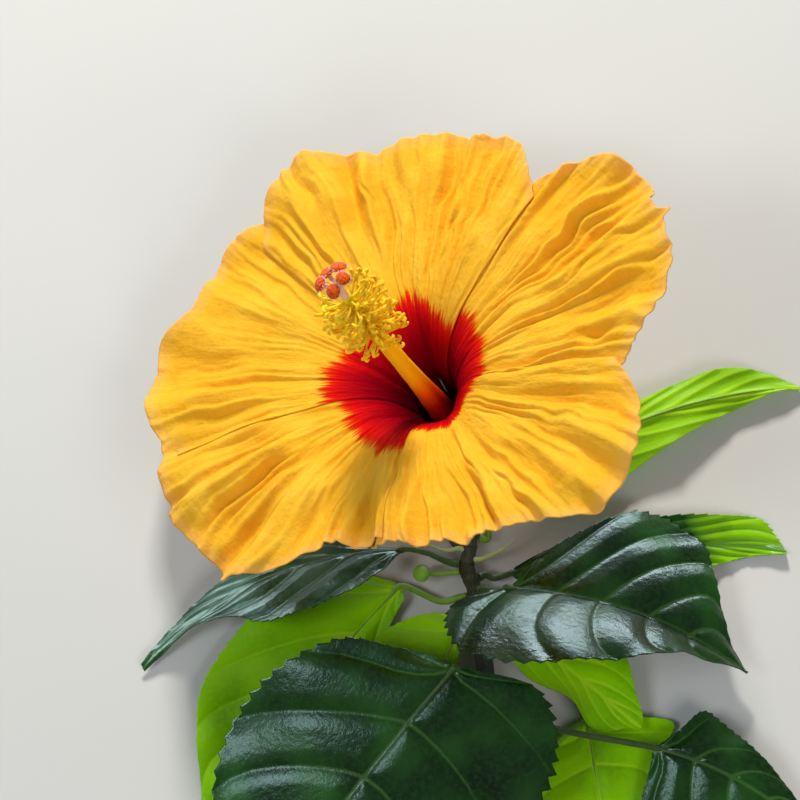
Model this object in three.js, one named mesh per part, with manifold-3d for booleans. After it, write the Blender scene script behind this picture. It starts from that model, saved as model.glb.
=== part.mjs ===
// A cut flowering tip of a hibiscus shrub, lying on a level surface: one open yellow bloom,
// its stalk, the leafy stem it grew on, and eleven leaves. Millimetres, +Z up.
// The sprig is drawn in its own plane first: x across, y along the stem towards the bloom,
// z out of the plane, on the side that the bloom faces. It is then laid down by one turn and one lift.
import * as THREE from 'three';
import { mergeVertices } from 'three/addons/utils/BufferGeometryUtils.js';
import Module from 'manifold-3d';

const wasm = await Module();
wasm.setup();

const rad = THREE.MathUtils.degToRad;
const at = (x, y, z) => new THREE.Vector3(x, y, z);

// How the sprig lies: its plane leans back from the level by layTurn, and layLift puts its lowest
// points on the surface.
const layTurn = 15;
const layLift = 23.03;
const centreX = -21.335;
const centreY = 36.566;

// Clearance between pieces that grow into each other.
const clearance = 0.3;

// Colours and finishes.
const finishes = {
  petal: { color: 0xf6b21b, roughness: 0.6, metalness: 0 },
  column: { color: 0xf0a318, roughness: 0.55, metalness: 0 },
  stigma: { color: 0xc83a10, roughness: 0.7, metalness: 0 },
  leafDark: { color: 0x1d4a16, roughness: 0.3, metalness: 0 },
  leafBright: { color: 0x6fae12, roughness: 0.45, metalness: 0 },
  sepal: { color: 0x6d9436, roughness: 0.6, metalness: 0 },
  bark: { color: 0x4a3f26, roughness: 0.75, metalness: 0 },
};

const group = new THREE.Group();
const sprig = new THREE.Group();
sprig.rotation.x = rad(layTurn);
sprig.position.set(centreX, centreY, layLift);
group.add(sprig);

function addNode(name, geometry, finish) {
  const mesh = new THREE.Mesh(geometry, new THREE.MeshStandardMaterial(finishes[finish]));
  mesh.name = name;
  sprig.add(mesh);
}

function smoothStep(x, low, high) {
  const t = Math.min(1, Math.max(0, (x - low) / (high - low)));
  return t * t * (3 - 2 * t);
}

// A value read along an evenly spaced list, joined by smooth steps.
function along(list, t) {
  const place = Math.min(1, Math.max(0, t)) * (list.length - 1);
  const low = Math.min(list.length - 2, Math.floor(place));
  const share = place - low;
  const before = list[Math.max(0, low - 1)];
  const after = list[Math.min(list.length - 1, low + 2)];
  const [a, b] = [list[low], list[low + 1]];
  return 0.5 * (2 * a + (b - before) * share + (2 * before - 5 * a + 4 * b - after) * share ** 2
    + (3 * a - before - 3 * b + after) * share ** 3);
}

// A closed sheet of even thickness: surface(u, v) gives its middle, u from 0 to 1 and v from -1 to 1.
function sheet(surface, columns, rows, thickness) {
  const geometry = new THREE.BoxGeometry(2, 1, 1, columns, rows, 1);
  const position = geometry.attributes.position;
  const small = 1e-3;
  for (let i = 0; i < position.count; i += 1) {
    const v = position.getX(i);
    const u = position.getY(i) + 0.5;
    const middle = surface(u, v);
    const alongU = surface(Math.min(1, u + small), v).sub(surface(Math.max(0, u - small), v));
    const alongV = surface(u, Math.min(1, v + small)).sub(surface(u, Math.max(-1, v - small)));
    const normal = alongV.cross(alongU).normalize();
    middle.addScaledVector(normal, position.getZ(i) * thickness);
    position.setXYZ(i, middle.x, middle.y, middle.z);
  }
  return geometry;
}

// A closed tapering limb along a smooth line through the points, with a radius for each point.
function limb(points, radii, sides, steps) {
  const curve = new THREE.CatmullRomCurve3(points, false, 'centripetal');
  const geometry = new THREE.CylinderGeometry(1, 1, 1, sides, steps);
  const position = geometry.attributes.position;
  const side = points[points.length - 1].clone().sub(points[0]);
  const reference = Math.abs(side.normalize().z) > 0.8 ? at(0, 1, 0) : at(0, 0, 1);
  for (let i = 0; i < position.count; i += 1) {
    const t = position.getY(i) + 0.5;
    const tangent = curve.getTangent(t);
    const across = reference.clone().cross(tangent).normalize();
    const up = tangent.clone().cross(across);
    const radius = along(radii, t);
    const place = curve.getPoint(t);
    place.addScaledVector(across, position.getX(i) * radius);
    place.addScaledVector(up, -position.getZ(i) * radius);
    position.setXYZ(i, place.x, place.y, place.z);
  }
  return geometry;
}

function solidOf(geometry) {
  const bare = geometry.clone();
  bare.deleteAttribute('normal');
  bare.deleteAttribute('uv');
  const merged = mergeVertices(bare, 1e-5);
  return new wasm.Manifold(new wasm.Mesh({
    numProp: 3,
    vertProperties: new Float32Array(merged.attributes.position.array),
    triVerts: new Uint32Array(merged.index.array),
  }));
}

function geometryOf(solid) {
  const mesh = solid.getMesh();
  const geometry = new THREE.BufferGeometry();
  geometry.setAttribute('position', new THREE.BufferAttribute(mesh.vertProperties, 3));
  geometry.setIndex(new THREE.BufferAttribute(mesh.triVerts, 1));
  return geometry;
}

function fuse(geometries) {
  return geometryOf(geometries.map(solidOf).reduce((whole, piece) => whole.add(piece)));
}

// Stem: from the flat cut to its tip, slightly bent at each leaf joint.
const stem = {
  line: [
    at(22.5, -118.6, 10.7), at(21.2, -98, 6.1), at(20.6, -81, 2.6), at(20.4, -64, -2.2), at(18.4, -52, -5.6),
    at(18.2, -46.5, -7.2), at(16.2, -40.4, -9), at(17.2, -36, -10.2), at(18, -31.5, -11.2),
  ],
  radii: [2.5, 2.35, 2.3, 2.2, 2.0, 1.9, 1.95, 1.6, 1.3],
};
const stemCurve = new THREE.CatmullRomCurve3(stem.line, false, 'centripetal');
addNode('stem', limb(stem.line, stem.radii, 10, 24), 'bark');

// Where something that grows towards a point leaves the stem: just clear of the bark, then straight out.
function footOnStem(joint, towards) {
  const centre = stemCurve.getPoint(joint);
  const tangent = stemCurve.getTangent(joint);
  const out = towards.clone().sub(centre);
  out.addScaledVector(tangent, -out.dot(tangent)).normalize();
  return { foot: centre.clone().addScaledVector(out, along(stem.radii, joint) + clearance), out };
}

// The bloom's own frame: its foot, the way it faces, and a level direction across it.
const bloom = { foot: at(12.5, -5, 0), tilt: 38, lean: at(-0.661, 0.751, 0) };
const facing = bloom.lean.clone().multiplyScalar(Math.sin(rad(bloom.tilt)));
facing.z = Math.cos(rad(bloom.tilt));
const bloomAcross = at(bloom.lean.y, -bloom.lean.x, 0);
const bloomUp = facing.clone().cross(bloomAcross);

function inBloom(radius, azimuth, height) {
  return bloom.foot.clone()
    .addScaledVector(bloomAcross, radius * Math.cos(azimuth))
    .addScaledVector(bloomUp, radius * Math.sin(azimuth))
    .addScaledVector(facing, height);
}

// The corolla follows one flared line, from narrow foot to wide rim. steepFoot and flareAngle are
// angles from the axis; curl is how far each petal's outer half bends back, in degrees.
const corolla = {
  footRadius: 4.3,
  steepFoot: 9,
  flareAngle: 78,
  flareFrom: 5,
  flareTo: 38,
  curlFrom: 34,
  curlTo: 82,
  thickness: 0.8,
  clawHalfAngle: 31,
  ruffleHeight: 1.5,
  step: 1,
};
// Each petal stands at claw, spreads from one azimuth to another, and reaches out by rim, read across.
const petals = {
  petal_top: {
    claw: 46, from: 11, to: 97, curl: 10, low: 1, high: 1,
    rim: [62, 70, 73, 74, 74, 73, 74, 78, 80, 77, 68],
  },
  petal_left: {
    claw: 118, from: 80, to: 157, curl: 8, low: -1, high: 1,
    rim: [62, 70, 75, 77, 75, 74, 80, 80, 79, 76, 71],
  },
  petal_lower_left: {
    claw: 190, from: 137, to: 229, curl: 22, low: -1, high: 1,
    rim: [62, 72, 76, 77, 77, 77, 76, 68, 59, 58, 57],
  },
  petal_lower_right: {
    claw: 262, from: 205, to: 311, curl: 28, low: -1, high: 1,
    rim: [50, 54, 58, 58, 60, 64, 69, 77, 79, 75, 67],
  },
  petal_right: {
    claw: 334, from: 299, to: 385, curl: -8, low: -1, high: -1,
    rim: [58, 65, 72, 79, 82, 82, 81, 79, 72, 62, 54],
  },
};
const ruffles = [
  { waves: 13, phase: 0.4, share: 0.55 },
  { waves: 22, phase: 1.9, share: 0.45 },
];

// Smooth mix of the five petals' curl round the bloom.
function curlAt(azimuth) {
  let sum = 0;
  let weights = 0;
  for (const petal of Object.values(petals)) {
    const apart = Math.cos(azimuth - rad((petal.from + petal.to) / 2));
    const weight = Math.exp(4 * (apart - 1));
    sum += weight * petal.curl;
    weights += weight;
  }
  return sum / weights;
}

// Radius, height and slope of the corolla at a distance s from its foot.
function corollaLine(s, azimuth) {
  const curl = curlAt(azimuth);
  let radius = corolla.footRadius;
  let height = 0;
  let angle = corolla.steepFoot;
  const count = Math.max(1, Math.ceil(s / corolla.step));
  for (let i = 0; i < count; i += 1) {
    const middle = (i + 0.5) * s / count;
    angle = rad(corolla.steepFoot
      + (corolla.flareAngle - corolla.steepFoot) * smoothStep(middle, corolla.flareFrom, corolla.flareTo)
      + curl * smoothStep(middle, corolla.curlFrom, corolla.curlTo));
    radius += Math.sin(angle) * s / count;
    height += Math.cos(angle) * s / count;
  }
  return { radius, height, angle };
}

// Neighbouring petals keep apart by layers: low and high say whether a petal's edge lies over (1) or
// under (-1) the next one's, on the side of the lower and of the higher azimuth.
function petalPoint(name, u, v) {
  const petal = petals[name];
  const s = u * along(petal.rim, (v + 1) / 2) + 0.1;
  const claw = petal.claw + v * corolla.clawHalfAngle;
  const spread = petal.from + (petal.to - petal.from) * (v + 1) / 2;
  const azimuth = rad(claw + (spread - claw) * smoothStep(s, 4, 40));
  const { radius, height, angle } = corollaLine(s, azimuth);
  const layer = (v > 0 ? petal.high : petal.low) * v * v * (0.75 + 0.04 * s) * smoothStep(s, 2, 14);
  let ruffle = 0;
  for (const wave of ruffles) {
    ruffle += wave.share * Math.sin(wave.waves * azimuth + wave.phase);
  }
  const offset = layer + ruffle * corolla.ruffleHeight * smoothStep(s, 34, 80);
  return inBloom(radius - Math.cos(angle) * offset, azimuth, height + Math.sin(angle) * offset);
}

for (const name of Object.keys(petals)) {
  addNode(name, sheet((u, v) => petalPoint(name, u, v), 14, 12, corolla.thickness), 'petal');
}

// Calyx: a cup outside the petals' feet, with five pointed lobes between the petals.
const calyx = {
  base: [[2.4, -7], [3.9, -6.2], [5.1, -4], [5.8, -1.6]],
  floor: [4.7, -0.5],
  wall: 0.9,
  clearOfPetals: 0.75,
  notch: 9,
  lobe: 13,
  firstLobe: 82,
  steps: 5,
};
function calyxPoint(t, azimuth) {
  const place = Math.round(t * (calyx.base.length + 2 * calyx.steps + 2));
  if (place < calyx.base.length) {
    return inBloom(calyx.base[place][0], azimuth, calyx.base[place][1]);
  }
  const wallPlace = place - calyx.base.length;
  if (wallPlace > 2 * calyx.steps + 1) {
    return inBloom(calyx.floor[0], azimuth, calyx.floor[1]);
  }
  const inside = wallPlace > calyx.steps;
  const reach = (inside ? 2 * calyx.steps + 1 - wallPlace : wallPlace) / calyx.steps;
  const lobe = 1 - Math.abs(Math.sin(2.5 * (azimuth - rad(calyx.firstLobe))));
  const s = reach * (calyx.notch + calyx.lobe * lobe ** 0.8);
  const { radius, height, angle } = corollaLine(s, azimuth);
  const offset = calyx.clearOfPetals + (0.75 + 0.04 * s) * smoothStep(s, 2, 14)
    + (inside ? 0 : calyx.wall * (1 - 0.4 * reach));
  return inBloom(radius + Math.cos(angle) * offset, azimuth, height - Math.sin(angle) * offset);
}
function makeCalyx() {
  const geometry = new THREE.CylinderGeometry(1, 1, 1, 30, calyx.base.length + 2 * calyx.steps + 2);
  const position = geometry.attributes.position;
  for (let i = 0; i < position.count; i += 1) {
    const [x, t, z] = [position.getX(i), position.getY(i) + 0.5, position.getZ(i)];
    const place = calyxPoint(t, Math.atan2(x, z) + Math.PI);
    if (Math.hypot(x, z) < 0.5) {
      place.copy(inBloom(0, 0, t < 0.5 ? calyx.base[0][1] : calyx.floor[1]));
    }
    position.setXYZ(i, place.x, place.y, place.z);
  }
  return geometry;
}
addNode('calyx', makeCalyx(), 'sepal');

// Epicalyx: a collar at the top of the flower stalk with narrow bractlets round the calyx.
const epicalyx = {
  collarRadius: 3.3,
  collarThickness: 0.7,
  height: -8.2,
  count: 7,
  reach: [[3.3, -8.2], [6.4, -5.6], [9.2, 0.5], [11, 7.5]],
  radii: [0.8, 0.85, 0.7, 0.25],
};
function makeEpicalyx() {
  const collar = new THREE.TorusGeometry(epicalyx.collarRadius, epicalyx.collarThickness, 5, 14);
  collar.applyMatrix4(new THREE.Matrix4().makeBasis(bloomAcross, bloomUp, facing)
    .setPosition(inBloom(0, 0, epicalyx.height)));
  const pieces = [collar];
  for (let i = 0; i < epicalyx.count; i += 1) {
    const azimuth = 2 * Math.PI * i / epicalyx.count;
    const line = epicalyx.reach.map(([radius, height]) => inBloom(radius, azimuth, height));
    pieces.push(limb(line, epicalyx.radii, 5, 3));
  }
  return fuse(pieces);
}
addNode('epicalyx', makeEpicalyx(), 'sepal');

// Flower stalk, from the top of the stem to the calyx.
const stalkEnd = calyx.base[0][1] - clearance;
const stemTop = stemCurve.getPoint(1).addScaledVector(stemCurve.getTangent(1), clearance);
addNode('flower_stalk', limb(
  [stemTop, at(18.9, -24, -12.6), at(18.1, -15, -10.6), inBloom(0, 0, stalkEnd - 3), inBloom(0, 0, stalkEnd)],
  [1.3, 1.2, 1.35, 1.9, 2.2], 8, 10,
), 'sepal');

// Column of joined stamens down the bloom's middle, with short filaments that each carry an anther.
const column = {
  line: [-0.2, 8, 20, 36, 52, 63],
  radii: [3.6, 3.1, 2.3, 1.9, 1.6, 1.1],
  filaments: 22,
  lowest: 35,
  highest: 61,
  filamentLength: 6.5,
  antherRadius: 1,
  turn: 137.5,
};
function makeColumn() {
  const pieces = [limb(column.line.map((height) => inBloom(0, 0, height)), column.radii, 10, 12)];
  for (let i = 0; i < column.filaments; i += 1) {
    const share = i / (column.filaments - 1);
    const azimuth = rad(i * column.turn);
    const height = column.lowest + (column.highest - column.lowest) * share;
    const length = column.filamentLength * (0.8 + 0.35 * Math.sin(5 * i));
    const tip = inBloom(1.5 + length, azimuth, height + 2.5);
    pieces.push(limb([inBloom(0.4, azimuth, height), inBloom(1.5 + length * 0.6, azimuth, height + 0.8), tip],
      [0.4, 0.35, 0.35], 3, 2));
    pieces.push(new THREE.OctahedronGeometry(column.antherRadius).translate(tip.x, tip.y, tip.z));
  }
  return fuse(pieces);
}
addNode('stamen_column', makeColumn(), 'column');

// Style: it leaves the top of the column and forks into five branches, each with a round stigma pad.
const style = { foot: 63.3, fork: 66.5, tip: 72, spread: 4.6, padRadius: 1.8, firstBranch: 20 };
function makeStyle() {
  const pieces = [limb([inBloom(0, 0, style.foot), inBloom(0, 0, style.fork + 1)], [1.1, 1.1], 8, 1)];
  for (let i = 0; i < 5; i += 1) {
    const azimuth = rad(style.firstBranch + 72 * i);
    const tip = inBloom(style.spread, azimuth, style.tip - 1.2 * (i % 2));
    pieces.push(limb([inBloom(0.2, azimuth, style.fork), inBloom(2, azimuth, style.fork + 2.6), tip],
      [0.6, 0.55, 0.55], 5, 3));
    pieces.push(new THREE.IcosahedronGeometry(style.padRadius, 0).translate(tip.x, tip.y, tip.z));
  }
  return fuse(pieces);
}
addNode('style_and_stigmas', makeStyle(), 'stigma');

// Leaves. Each leaves the stem at joint (a share of the stem's line), its stalk passes bend and meets
// the blade at base. tip is the blade's point and face the way its upper side looks. left and right are
// the outlines of its two halves, as smooth lines from the stalk to the tip through pairs of a place
// along the blade and one across it. arch raises the midrib's middle and curve bows it to the left, fold
// lifts or drops the sides, sag curls the margins down. All these are shares of the blade's length.
const leafShape = { thickness: 0.9, teeth: 11, toothDepth: 0.07 };
const plainRim = [[0, 0.03], [0.04, 0.16], [0.14, 0.26], [0.3, 0.29], [0.5, 0.25], [0.72, 0.15], [0.88, 0.06], [1, 0.008]];
const leaves = {
  leaf_right: {
    joint: 0.62, bend: at(24.5, -46, 1.5), base: at(25.7, -44.4, 6), tip: at(83.2, -65.5, 0),
    face: at(0.1, 0.7, 0.7), arch: 0.12, fold: 0.3, sag: 0.1, finish: 'leafDark',
    left: [[0.03, 0.03], [0.08, 0.14], [0.2, 0.28], [0.38, 0.43], [0.56, 0.475], [0.71, 0.41], [0.78, 0.27],
      [0.88, 0.1], [1, 0.008]],
    right: [[-0.04, 0.01], [-0.17, 0.1], [-0.2, 0.24], [-0.12, 0.38], [0.1, 0.415], [0.3, 0.36], [0.52, 0.25],
      [0.74, 0.11], [1, 0.008]],
  },
  leaf_front: {
    joint: 0.33, bend: at(18, -67.5, 10), base: at(12.8, -62.2, 18.6), tip: at(-42, -136, 14.05),
    face: at(0, 0.15, 0.97), arch: 0.06, fold: -0.02, sag: 0.06, curve: -0.02, finish: 'leafDark',
    left: [[-0.02, 0.03], [-0.08, 0.2], [0, 0.32], [0.15, 0.375], [0.36, 0.35], [0.6, 0.26], [0.82, 0.12], [1, 0.008]],
    right: [[0, 0.03], [0.05, 0.15], [0.12, 0.28], [0.28, 0.36], [0.46, 0.365], [0.64, 0.29], [0.85, 0.12], [1, 0.008]],
  },
  leaf_left: {
    joint: 0.76, bend: at(6.5, -37, -6.5), base: at(1.2, -36, -5), tip: at(-62.2, -64.9, -4.9),
    face: at(0, 0.72, 0.69), arch: 0.1, fold: 0.08, sag: 0.05, curve: -0.065, finish: 'leafDark',
    left: [[0.02, 0.02], [0.1, 0.07], [0.22, 0.125], [0.38, 0.155], [0.52, 0.125], [0.64, 0.03], [0.78, -0.01],
      [0.9, -0.01], [1, 0.008]],
    right: [[0.02, 0.02], [0.12, 0.06], [0.25, 0.115], [0.4, 0.135], [0.58, 0.125], [0.75, 0.11], [0.88, 0.07],
      [1, 0.008]],
  },
  leaf_left_rear: {
    joint: 0.6, bend: at(10, -49, -8.4), base: at(0, -45.3, -8.6), tip: at(-49.8, -114.7, 8.8),
    face: at(0, 0.26, 0.97), arch: 0.02, fold: 0.02, sag: 0, curve: -0.04, finish: 'leafBright',
    left: [[0.02, 0.03], [0.1, 0.04], [0.2, 0.06], [0.35, 0.13], [0.55, 0.17], [0.78, 0.1], [1, 0.008]],
    right: [[0, 0.03], [0.06, 0.16], [0.19, 0.265], [0.36, 0.295], [0.53, 0.29], [0.66, 0.22], [0.82, 0.09], [1, 0.008]],
  },
  leaf_low: {
    joint: 0.46, bend: at(15, -55.3, -1.6), base: at(14.5, -53.5, -1.8), tip: at(-9, -112, 10.5),
    face: at(0, 0.26, 0.97), arch: 0.05, fold: -0.06, sag: 0, finish: 'leafBright',
    left: [[0.02, 0.02], [0.12, 0.04], [0.3, 0.08], [0.5, 0.12], [0.7, 0.11], [0.88, 0.06], [1, 0.008]],
    right: [[-0.02, 0.03], [0, 0.1], [0.06, 0.19], [0.17, 0.27], [0.36, 0.29], [0.6, 0.22], [0.82, 0.1], [1, 0.008]],
  },
  leaf_upper_right: {
    joint: 0.95, bend: at(22, -28, -12.5), base: at(26, -24, -13), tip: at(99.7, 3, -23.2),
    face: at(0, -0.26, -0.97), arch: -0.04, fold: 0.05, sag: 0, curve: -0.07, finish: 'leafBright',
    left: [[0.02, 0.02], [0.1, 0.085], [0.2, 0.11], [0.34, 0.08], [0.48, 0.045], [0.64, 0.012], [0.8, -0.005],
      [0.92, -0.01], [1, 0.008]],
    right: [[0.02, 0.02], [0.12, 0.075], [0.28, 0.115], [0.46, 0.13], [0.62, 0.145], [0.78, 0.14], [0.9, 0.09],
      [1, 0.008]],
  },
  leaf_rear_right: {
    joint: 0.68, bend: at(22.5, -43.4, -9), base: at(27, -42.2, -9.6), tip: at(94.6, -37.3, -12.3),
    face: at(0, 0.26, 0.97), arch: 0.02, fold: 0.03, sag: 0, curve: 0.06, finish: 'leafBright',
    left: [[0.02, 0.02], [0.15, 0.08], [0.35, 0.13], [0.58, 0.165], [0.78, 0.15], [0.92, 0.13], [0.98, 0.05], [1, 0.008]],
    right: [[0.02, 0.02], [0.15, 0.1], [0.35, 0.12], [0.55, 0.08], [0.74, 0.03], [0.87, 0.005], [1, 0.008]],
  },
  leaf_lower_right: {
    joint: 0.3, bend: at(34, -77.3, 6.5), base: at(60.2, -82.6, 5.5), tip: at(105, -112, 8),
    face: at(0, 0.26, 0.97), arch: 0.08, fold: -0.12, sag: 0, curve: 0.08, finish: 'leafDark',
    left: [[0.02, 0.03], [0.06, 0.14], [0.11, 0.265], [0.26, 0.25], [0.42, 0.225], [0.6, 0.17], [0.82, 0.07], [1, 0.008]],
    right: [[0.02, 0.03], [0.05, 0.12], [0.1, 0.25], [0.26, 0.31], [0.45, 0.27], [0.64, 0.18], [0.84, 0.07], [1, 0.008]],
  },
  leaf_rear_centre: {
    joint: 0.5, bend: at(24, -55.5, -4.2), base: at(27, -54, -4.2), tip: at(57.5, -78.5, 2.6),
    face: at(0, 0.26, 0.97), arch: 0.04, fold: 0.02, sag: 0, finish: 'leafBright',
    left: [[0.02, 0.03], [0.12, 0.2], [0.3, 0.32], [0.5, 0.34], [0.68, 0.27], [0.84, 0.15], [0.95, 0.08], [1, 0.02]],
    right: [[0.02, 0.03], [0.12, 0.16], [0.3, 0.2], [0.48, 0.15], [0.6, 0.14], [0.74, 0.19], [0.85, 0.15],
      [0.94, 0.05], [1, 0.008]],
  },
  leaf_rear_low: {
    joint: 0.17, bend: at(30, -88, 3), base: at(45, -77.5, -1.6), tip: at(52.9, -131.6, 12.8),
    face: at(0, 0.26, 0.97), arch: 0.01, fold: 0.01, sag: 0, finish: 'leafBright',
    left: [[-0.02, 0.03], [0, 0.16], [0.05, 0.36], [0.15, 0.31], [0.3, 0.22], [0.5, 0.2], [0.78, 0.12], [1, 0.008]],
    right: [[-0.02, 0.03], [0.02, 0.12], [0.08, 0.2], [0.25, 0.28], [0.5, 0.27], [0.78, 0.14], [1, 0.008]],
  },
  leaf_behind: {
    joint: 0.88, bend: at(11, -29, -13), base: at(6, -22, -15), tip: at(-28, 44, -34.4),
    face: at(0, 0.26, 0.97), arch: 0.06, fold: -0.05, sag: 0, finish: 'leafDark', left: plainRim, right: plainRim,
  },
};

function leafFrame(leaf) {
  const forward = leaf.tip.clone().sub(leaf.base);
  const length = forward.length();
  forward.normalize();
  const up = leaf.face.clone().addScaledVector(forward, -leaf.face.dot(forward)).normalize();
  return { forward, up, left: up.clone().cross(forward), length };
}

function bladePoint(leaf, frame, u, v) {
  const side = Math.abs(v);
  const hand = v < 0 ? -1 : 1;
  const rim = v < 0 ? leaf.right : leaf.left;
  const midX = u ** 1.2;
  const midY = (leaf.curve ?? 0) * 4 * midX * (1 - midX);
  const rimX = along(rim.map((pair) => pair[0]), u);
  const rimY = hand * along(rim.map((pair) => pair[1]), u);
  const tooth = (u * leafShape.teeth) % 1;
  const share = side * (1 + leafShape.toothDepth * (tooth - 0.5) * smoothStep(u, 0.1, 0.3) * side ** 6);
  const x = midX + (rimX - midX) * share;
  const y = midY + (rimY - midY) * share;
  const out = Math.abs(y - midY);
  const height = leaf.arch * 4 * x * (1 - x) + leaf.fold * out - leaf.sag * out * out * 4
    + 0.012 * Math.sin(16 * x + 2 * hand) * smoothStep(side, 0.3, 1);
  return leaf.base.clone()
    .addScaledVector(frame.forward, x * frame.length)
    .addScaledVector(frame.left, y * frame.length)
    .addScaledVector(frame.up, height * frame.length);
}

function makeLeaf(leaf) {
  const frame = leafFrame(leaf);
  const blade = sheet((u, v) => bladePoint(leaf, frame, u, v), 6, 16, leafShape.thickness);
  const { foot, out } = footOnStem(leaf.joint, leaf.bend);
  const line = [foot, foot.clone().addScaledVector(out, 2), leaf.bend, leaf.base, bladePoint(leaf, frame, 0.07, 0)];
  return fuse([blade, limb(line, [1.1, 1, 0.9, 0.85, 0.6], 7, 8)]);
}

for (const [name, leaf] of Object.entries(leaves)) {
  addNode(name, makeLeaf(leaf), leaf.finish);
}

// Small growths at the leaf joints: two thread-like stipules and a round bud.
const growths = {
  stipule_right: { joint: 0.8, line: [at(24, -36.5, -5.5), at(27.7, -33.5, -3.5)], radii: [0.7, 0.6, 0.4, 0.3] },
  stipule_left: { joint: 0.84, line: [at(11.5, -36.4, -6.5), at(6, -34.4, -3)], radii: [0.7, 0.6, 0.4, 0.3] },
};
for (const [name, growth] of Object.entries(growths)) {
  const { foot, out } = footOnStem(growth.joint, growth.line[0]);
  addNode(name, limb([foot, foot.clone().addScaledVector(out, 1), ...growth.line], growth.radii, 6, 6), 'sepal');
}
const bud = { joint: 0.73, neck: at(8.5, -42.2, -7.5), head: at(5.2, -42, -6), radius: 2.1 };
const budRoot = footOnStem(bud.joint, bud.neck);
addNode('bud', fuse([
  limb([budRoot.foot, budRoot.foot.clone().addScaledVector(budRoot.out, 1), bud.neck, bud.head], [0.8, 0.7, 0.7, 0.7], 6, 5),
  new THREE.IcosahedronGeometry(bud.radius, 1).translate(bud.head.x, bud.head.y, bud.head.z),
]), 'sepal');

export default group;
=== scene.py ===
# A cut hibiscus sprig lying on a pale floor: one open bloom, its stem and eleven leaves.
# Every place is worked out in the sprig's own plane in millimetres (x across, y along the stem to
# the bloom, z out of the plane), then laid down and turned into metres.
import math
import bpy
import bmesh
import numpy as np
from mathutils import Matrix, Vector


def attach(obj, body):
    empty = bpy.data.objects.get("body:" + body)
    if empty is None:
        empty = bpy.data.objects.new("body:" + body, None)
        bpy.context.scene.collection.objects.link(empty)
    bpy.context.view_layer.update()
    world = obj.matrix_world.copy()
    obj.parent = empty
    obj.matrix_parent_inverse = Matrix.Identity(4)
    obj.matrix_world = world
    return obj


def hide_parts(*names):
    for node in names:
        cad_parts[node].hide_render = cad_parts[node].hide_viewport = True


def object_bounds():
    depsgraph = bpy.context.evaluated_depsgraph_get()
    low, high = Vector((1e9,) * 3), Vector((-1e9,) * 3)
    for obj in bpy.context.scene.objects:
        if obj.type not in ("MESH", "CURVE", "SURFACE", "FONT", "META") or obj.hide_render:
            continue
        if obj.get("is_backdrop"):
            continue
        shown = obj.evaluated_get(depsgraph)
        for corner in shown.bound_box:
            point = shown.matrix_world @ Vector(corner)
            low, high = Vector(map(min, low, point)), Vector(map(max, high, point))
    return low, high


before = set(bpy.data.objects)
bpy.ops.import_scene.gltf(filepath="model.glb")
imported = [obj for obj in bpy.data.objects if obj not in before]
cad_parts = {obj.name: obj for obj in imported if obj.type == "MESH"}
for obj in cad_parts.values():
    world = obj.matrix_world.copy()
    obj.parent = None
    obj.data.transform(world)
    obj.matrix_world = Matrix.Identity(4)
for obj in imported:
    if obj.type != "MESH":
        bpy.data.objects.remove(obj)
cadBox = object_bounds()
print("frame loaded:", len(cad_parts), "nodes")

layDown = {"turn": 15, "shift": (-21.335, 36.566, 23.03)}
layMatrix = (Matrix.Translation(Vector(layDown["shift"]) / 1000)
             @ Matrix.Rotation(math.radians(layDown["turn"]), 4, "X"))


# Metres in the scene's frame from millimetres in the sprig's
def toWorld(points):
    turn = np.array(layMatrix.to_3x3())
    return (np.asarray(points) / 1000) @ turn.T + np.array(layMatrix.translation)


# Shared helpers for curves and soft noise

def smoothStep(x, low, high):
    t = np.clip((x - low) / (high - low), 0, 1)
    return t * t * (3 - 2 * t)


# Value at shares t of a smooth run through evenly spaced values
def along(values, t):
    values = np.asarray(values, float)
    last = len(values) - 1
    place = np.clip(t, 0, 1) * last
    low = np.minimum(last - 1, np.floor(place)).astype(int)
    share = place - low
    a, b = values[low], values[low + 1]
    before, after = values[np.maximum(0, low - 1)], values[np.minimum(last, low + 2)]
    return 0.5 * (2 * a + (b - before) * share + (2 * before - 5 * a + 4 * b - after) * share ** 2
                  + (3 * a - before - 3 * b + after) * share ** 3)


# Smooth noise from -1 to 1 that repeats after a whole number of steps of x
def softNoise(x, y, seed, period=300):
    lattice = np.random.default_rng(seed).uniform(-1, 1, (period, 97))
    xLow, yLow = np.floor(x).astype(int), np.floor(y).astype(int)
    xShare, yShare = x - xLow, y - yLow
    xShare, yShare = xShare ** 2 * (3 - 2 * xShare), yShare ** 2 * (3 - 2 * yShare)
    corner = lambda i, j: lattice[(xLow + i) % period, (yLow + j) % 97]
    bottom = corner(0, 0) * (1 - xShare) + corner(1, 0) * xShare
    top = corner(0, 1) * (1 - xShare) + corner(1, 1) * xShare
    return bottom * (1 - yShare) + top * yShare


# The same noise, closed round a full turn
def turnNoise(angle, count, level, seed):
    return softNoise(angle / (2 * np.pi) * count, level, seed, count)


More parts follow.
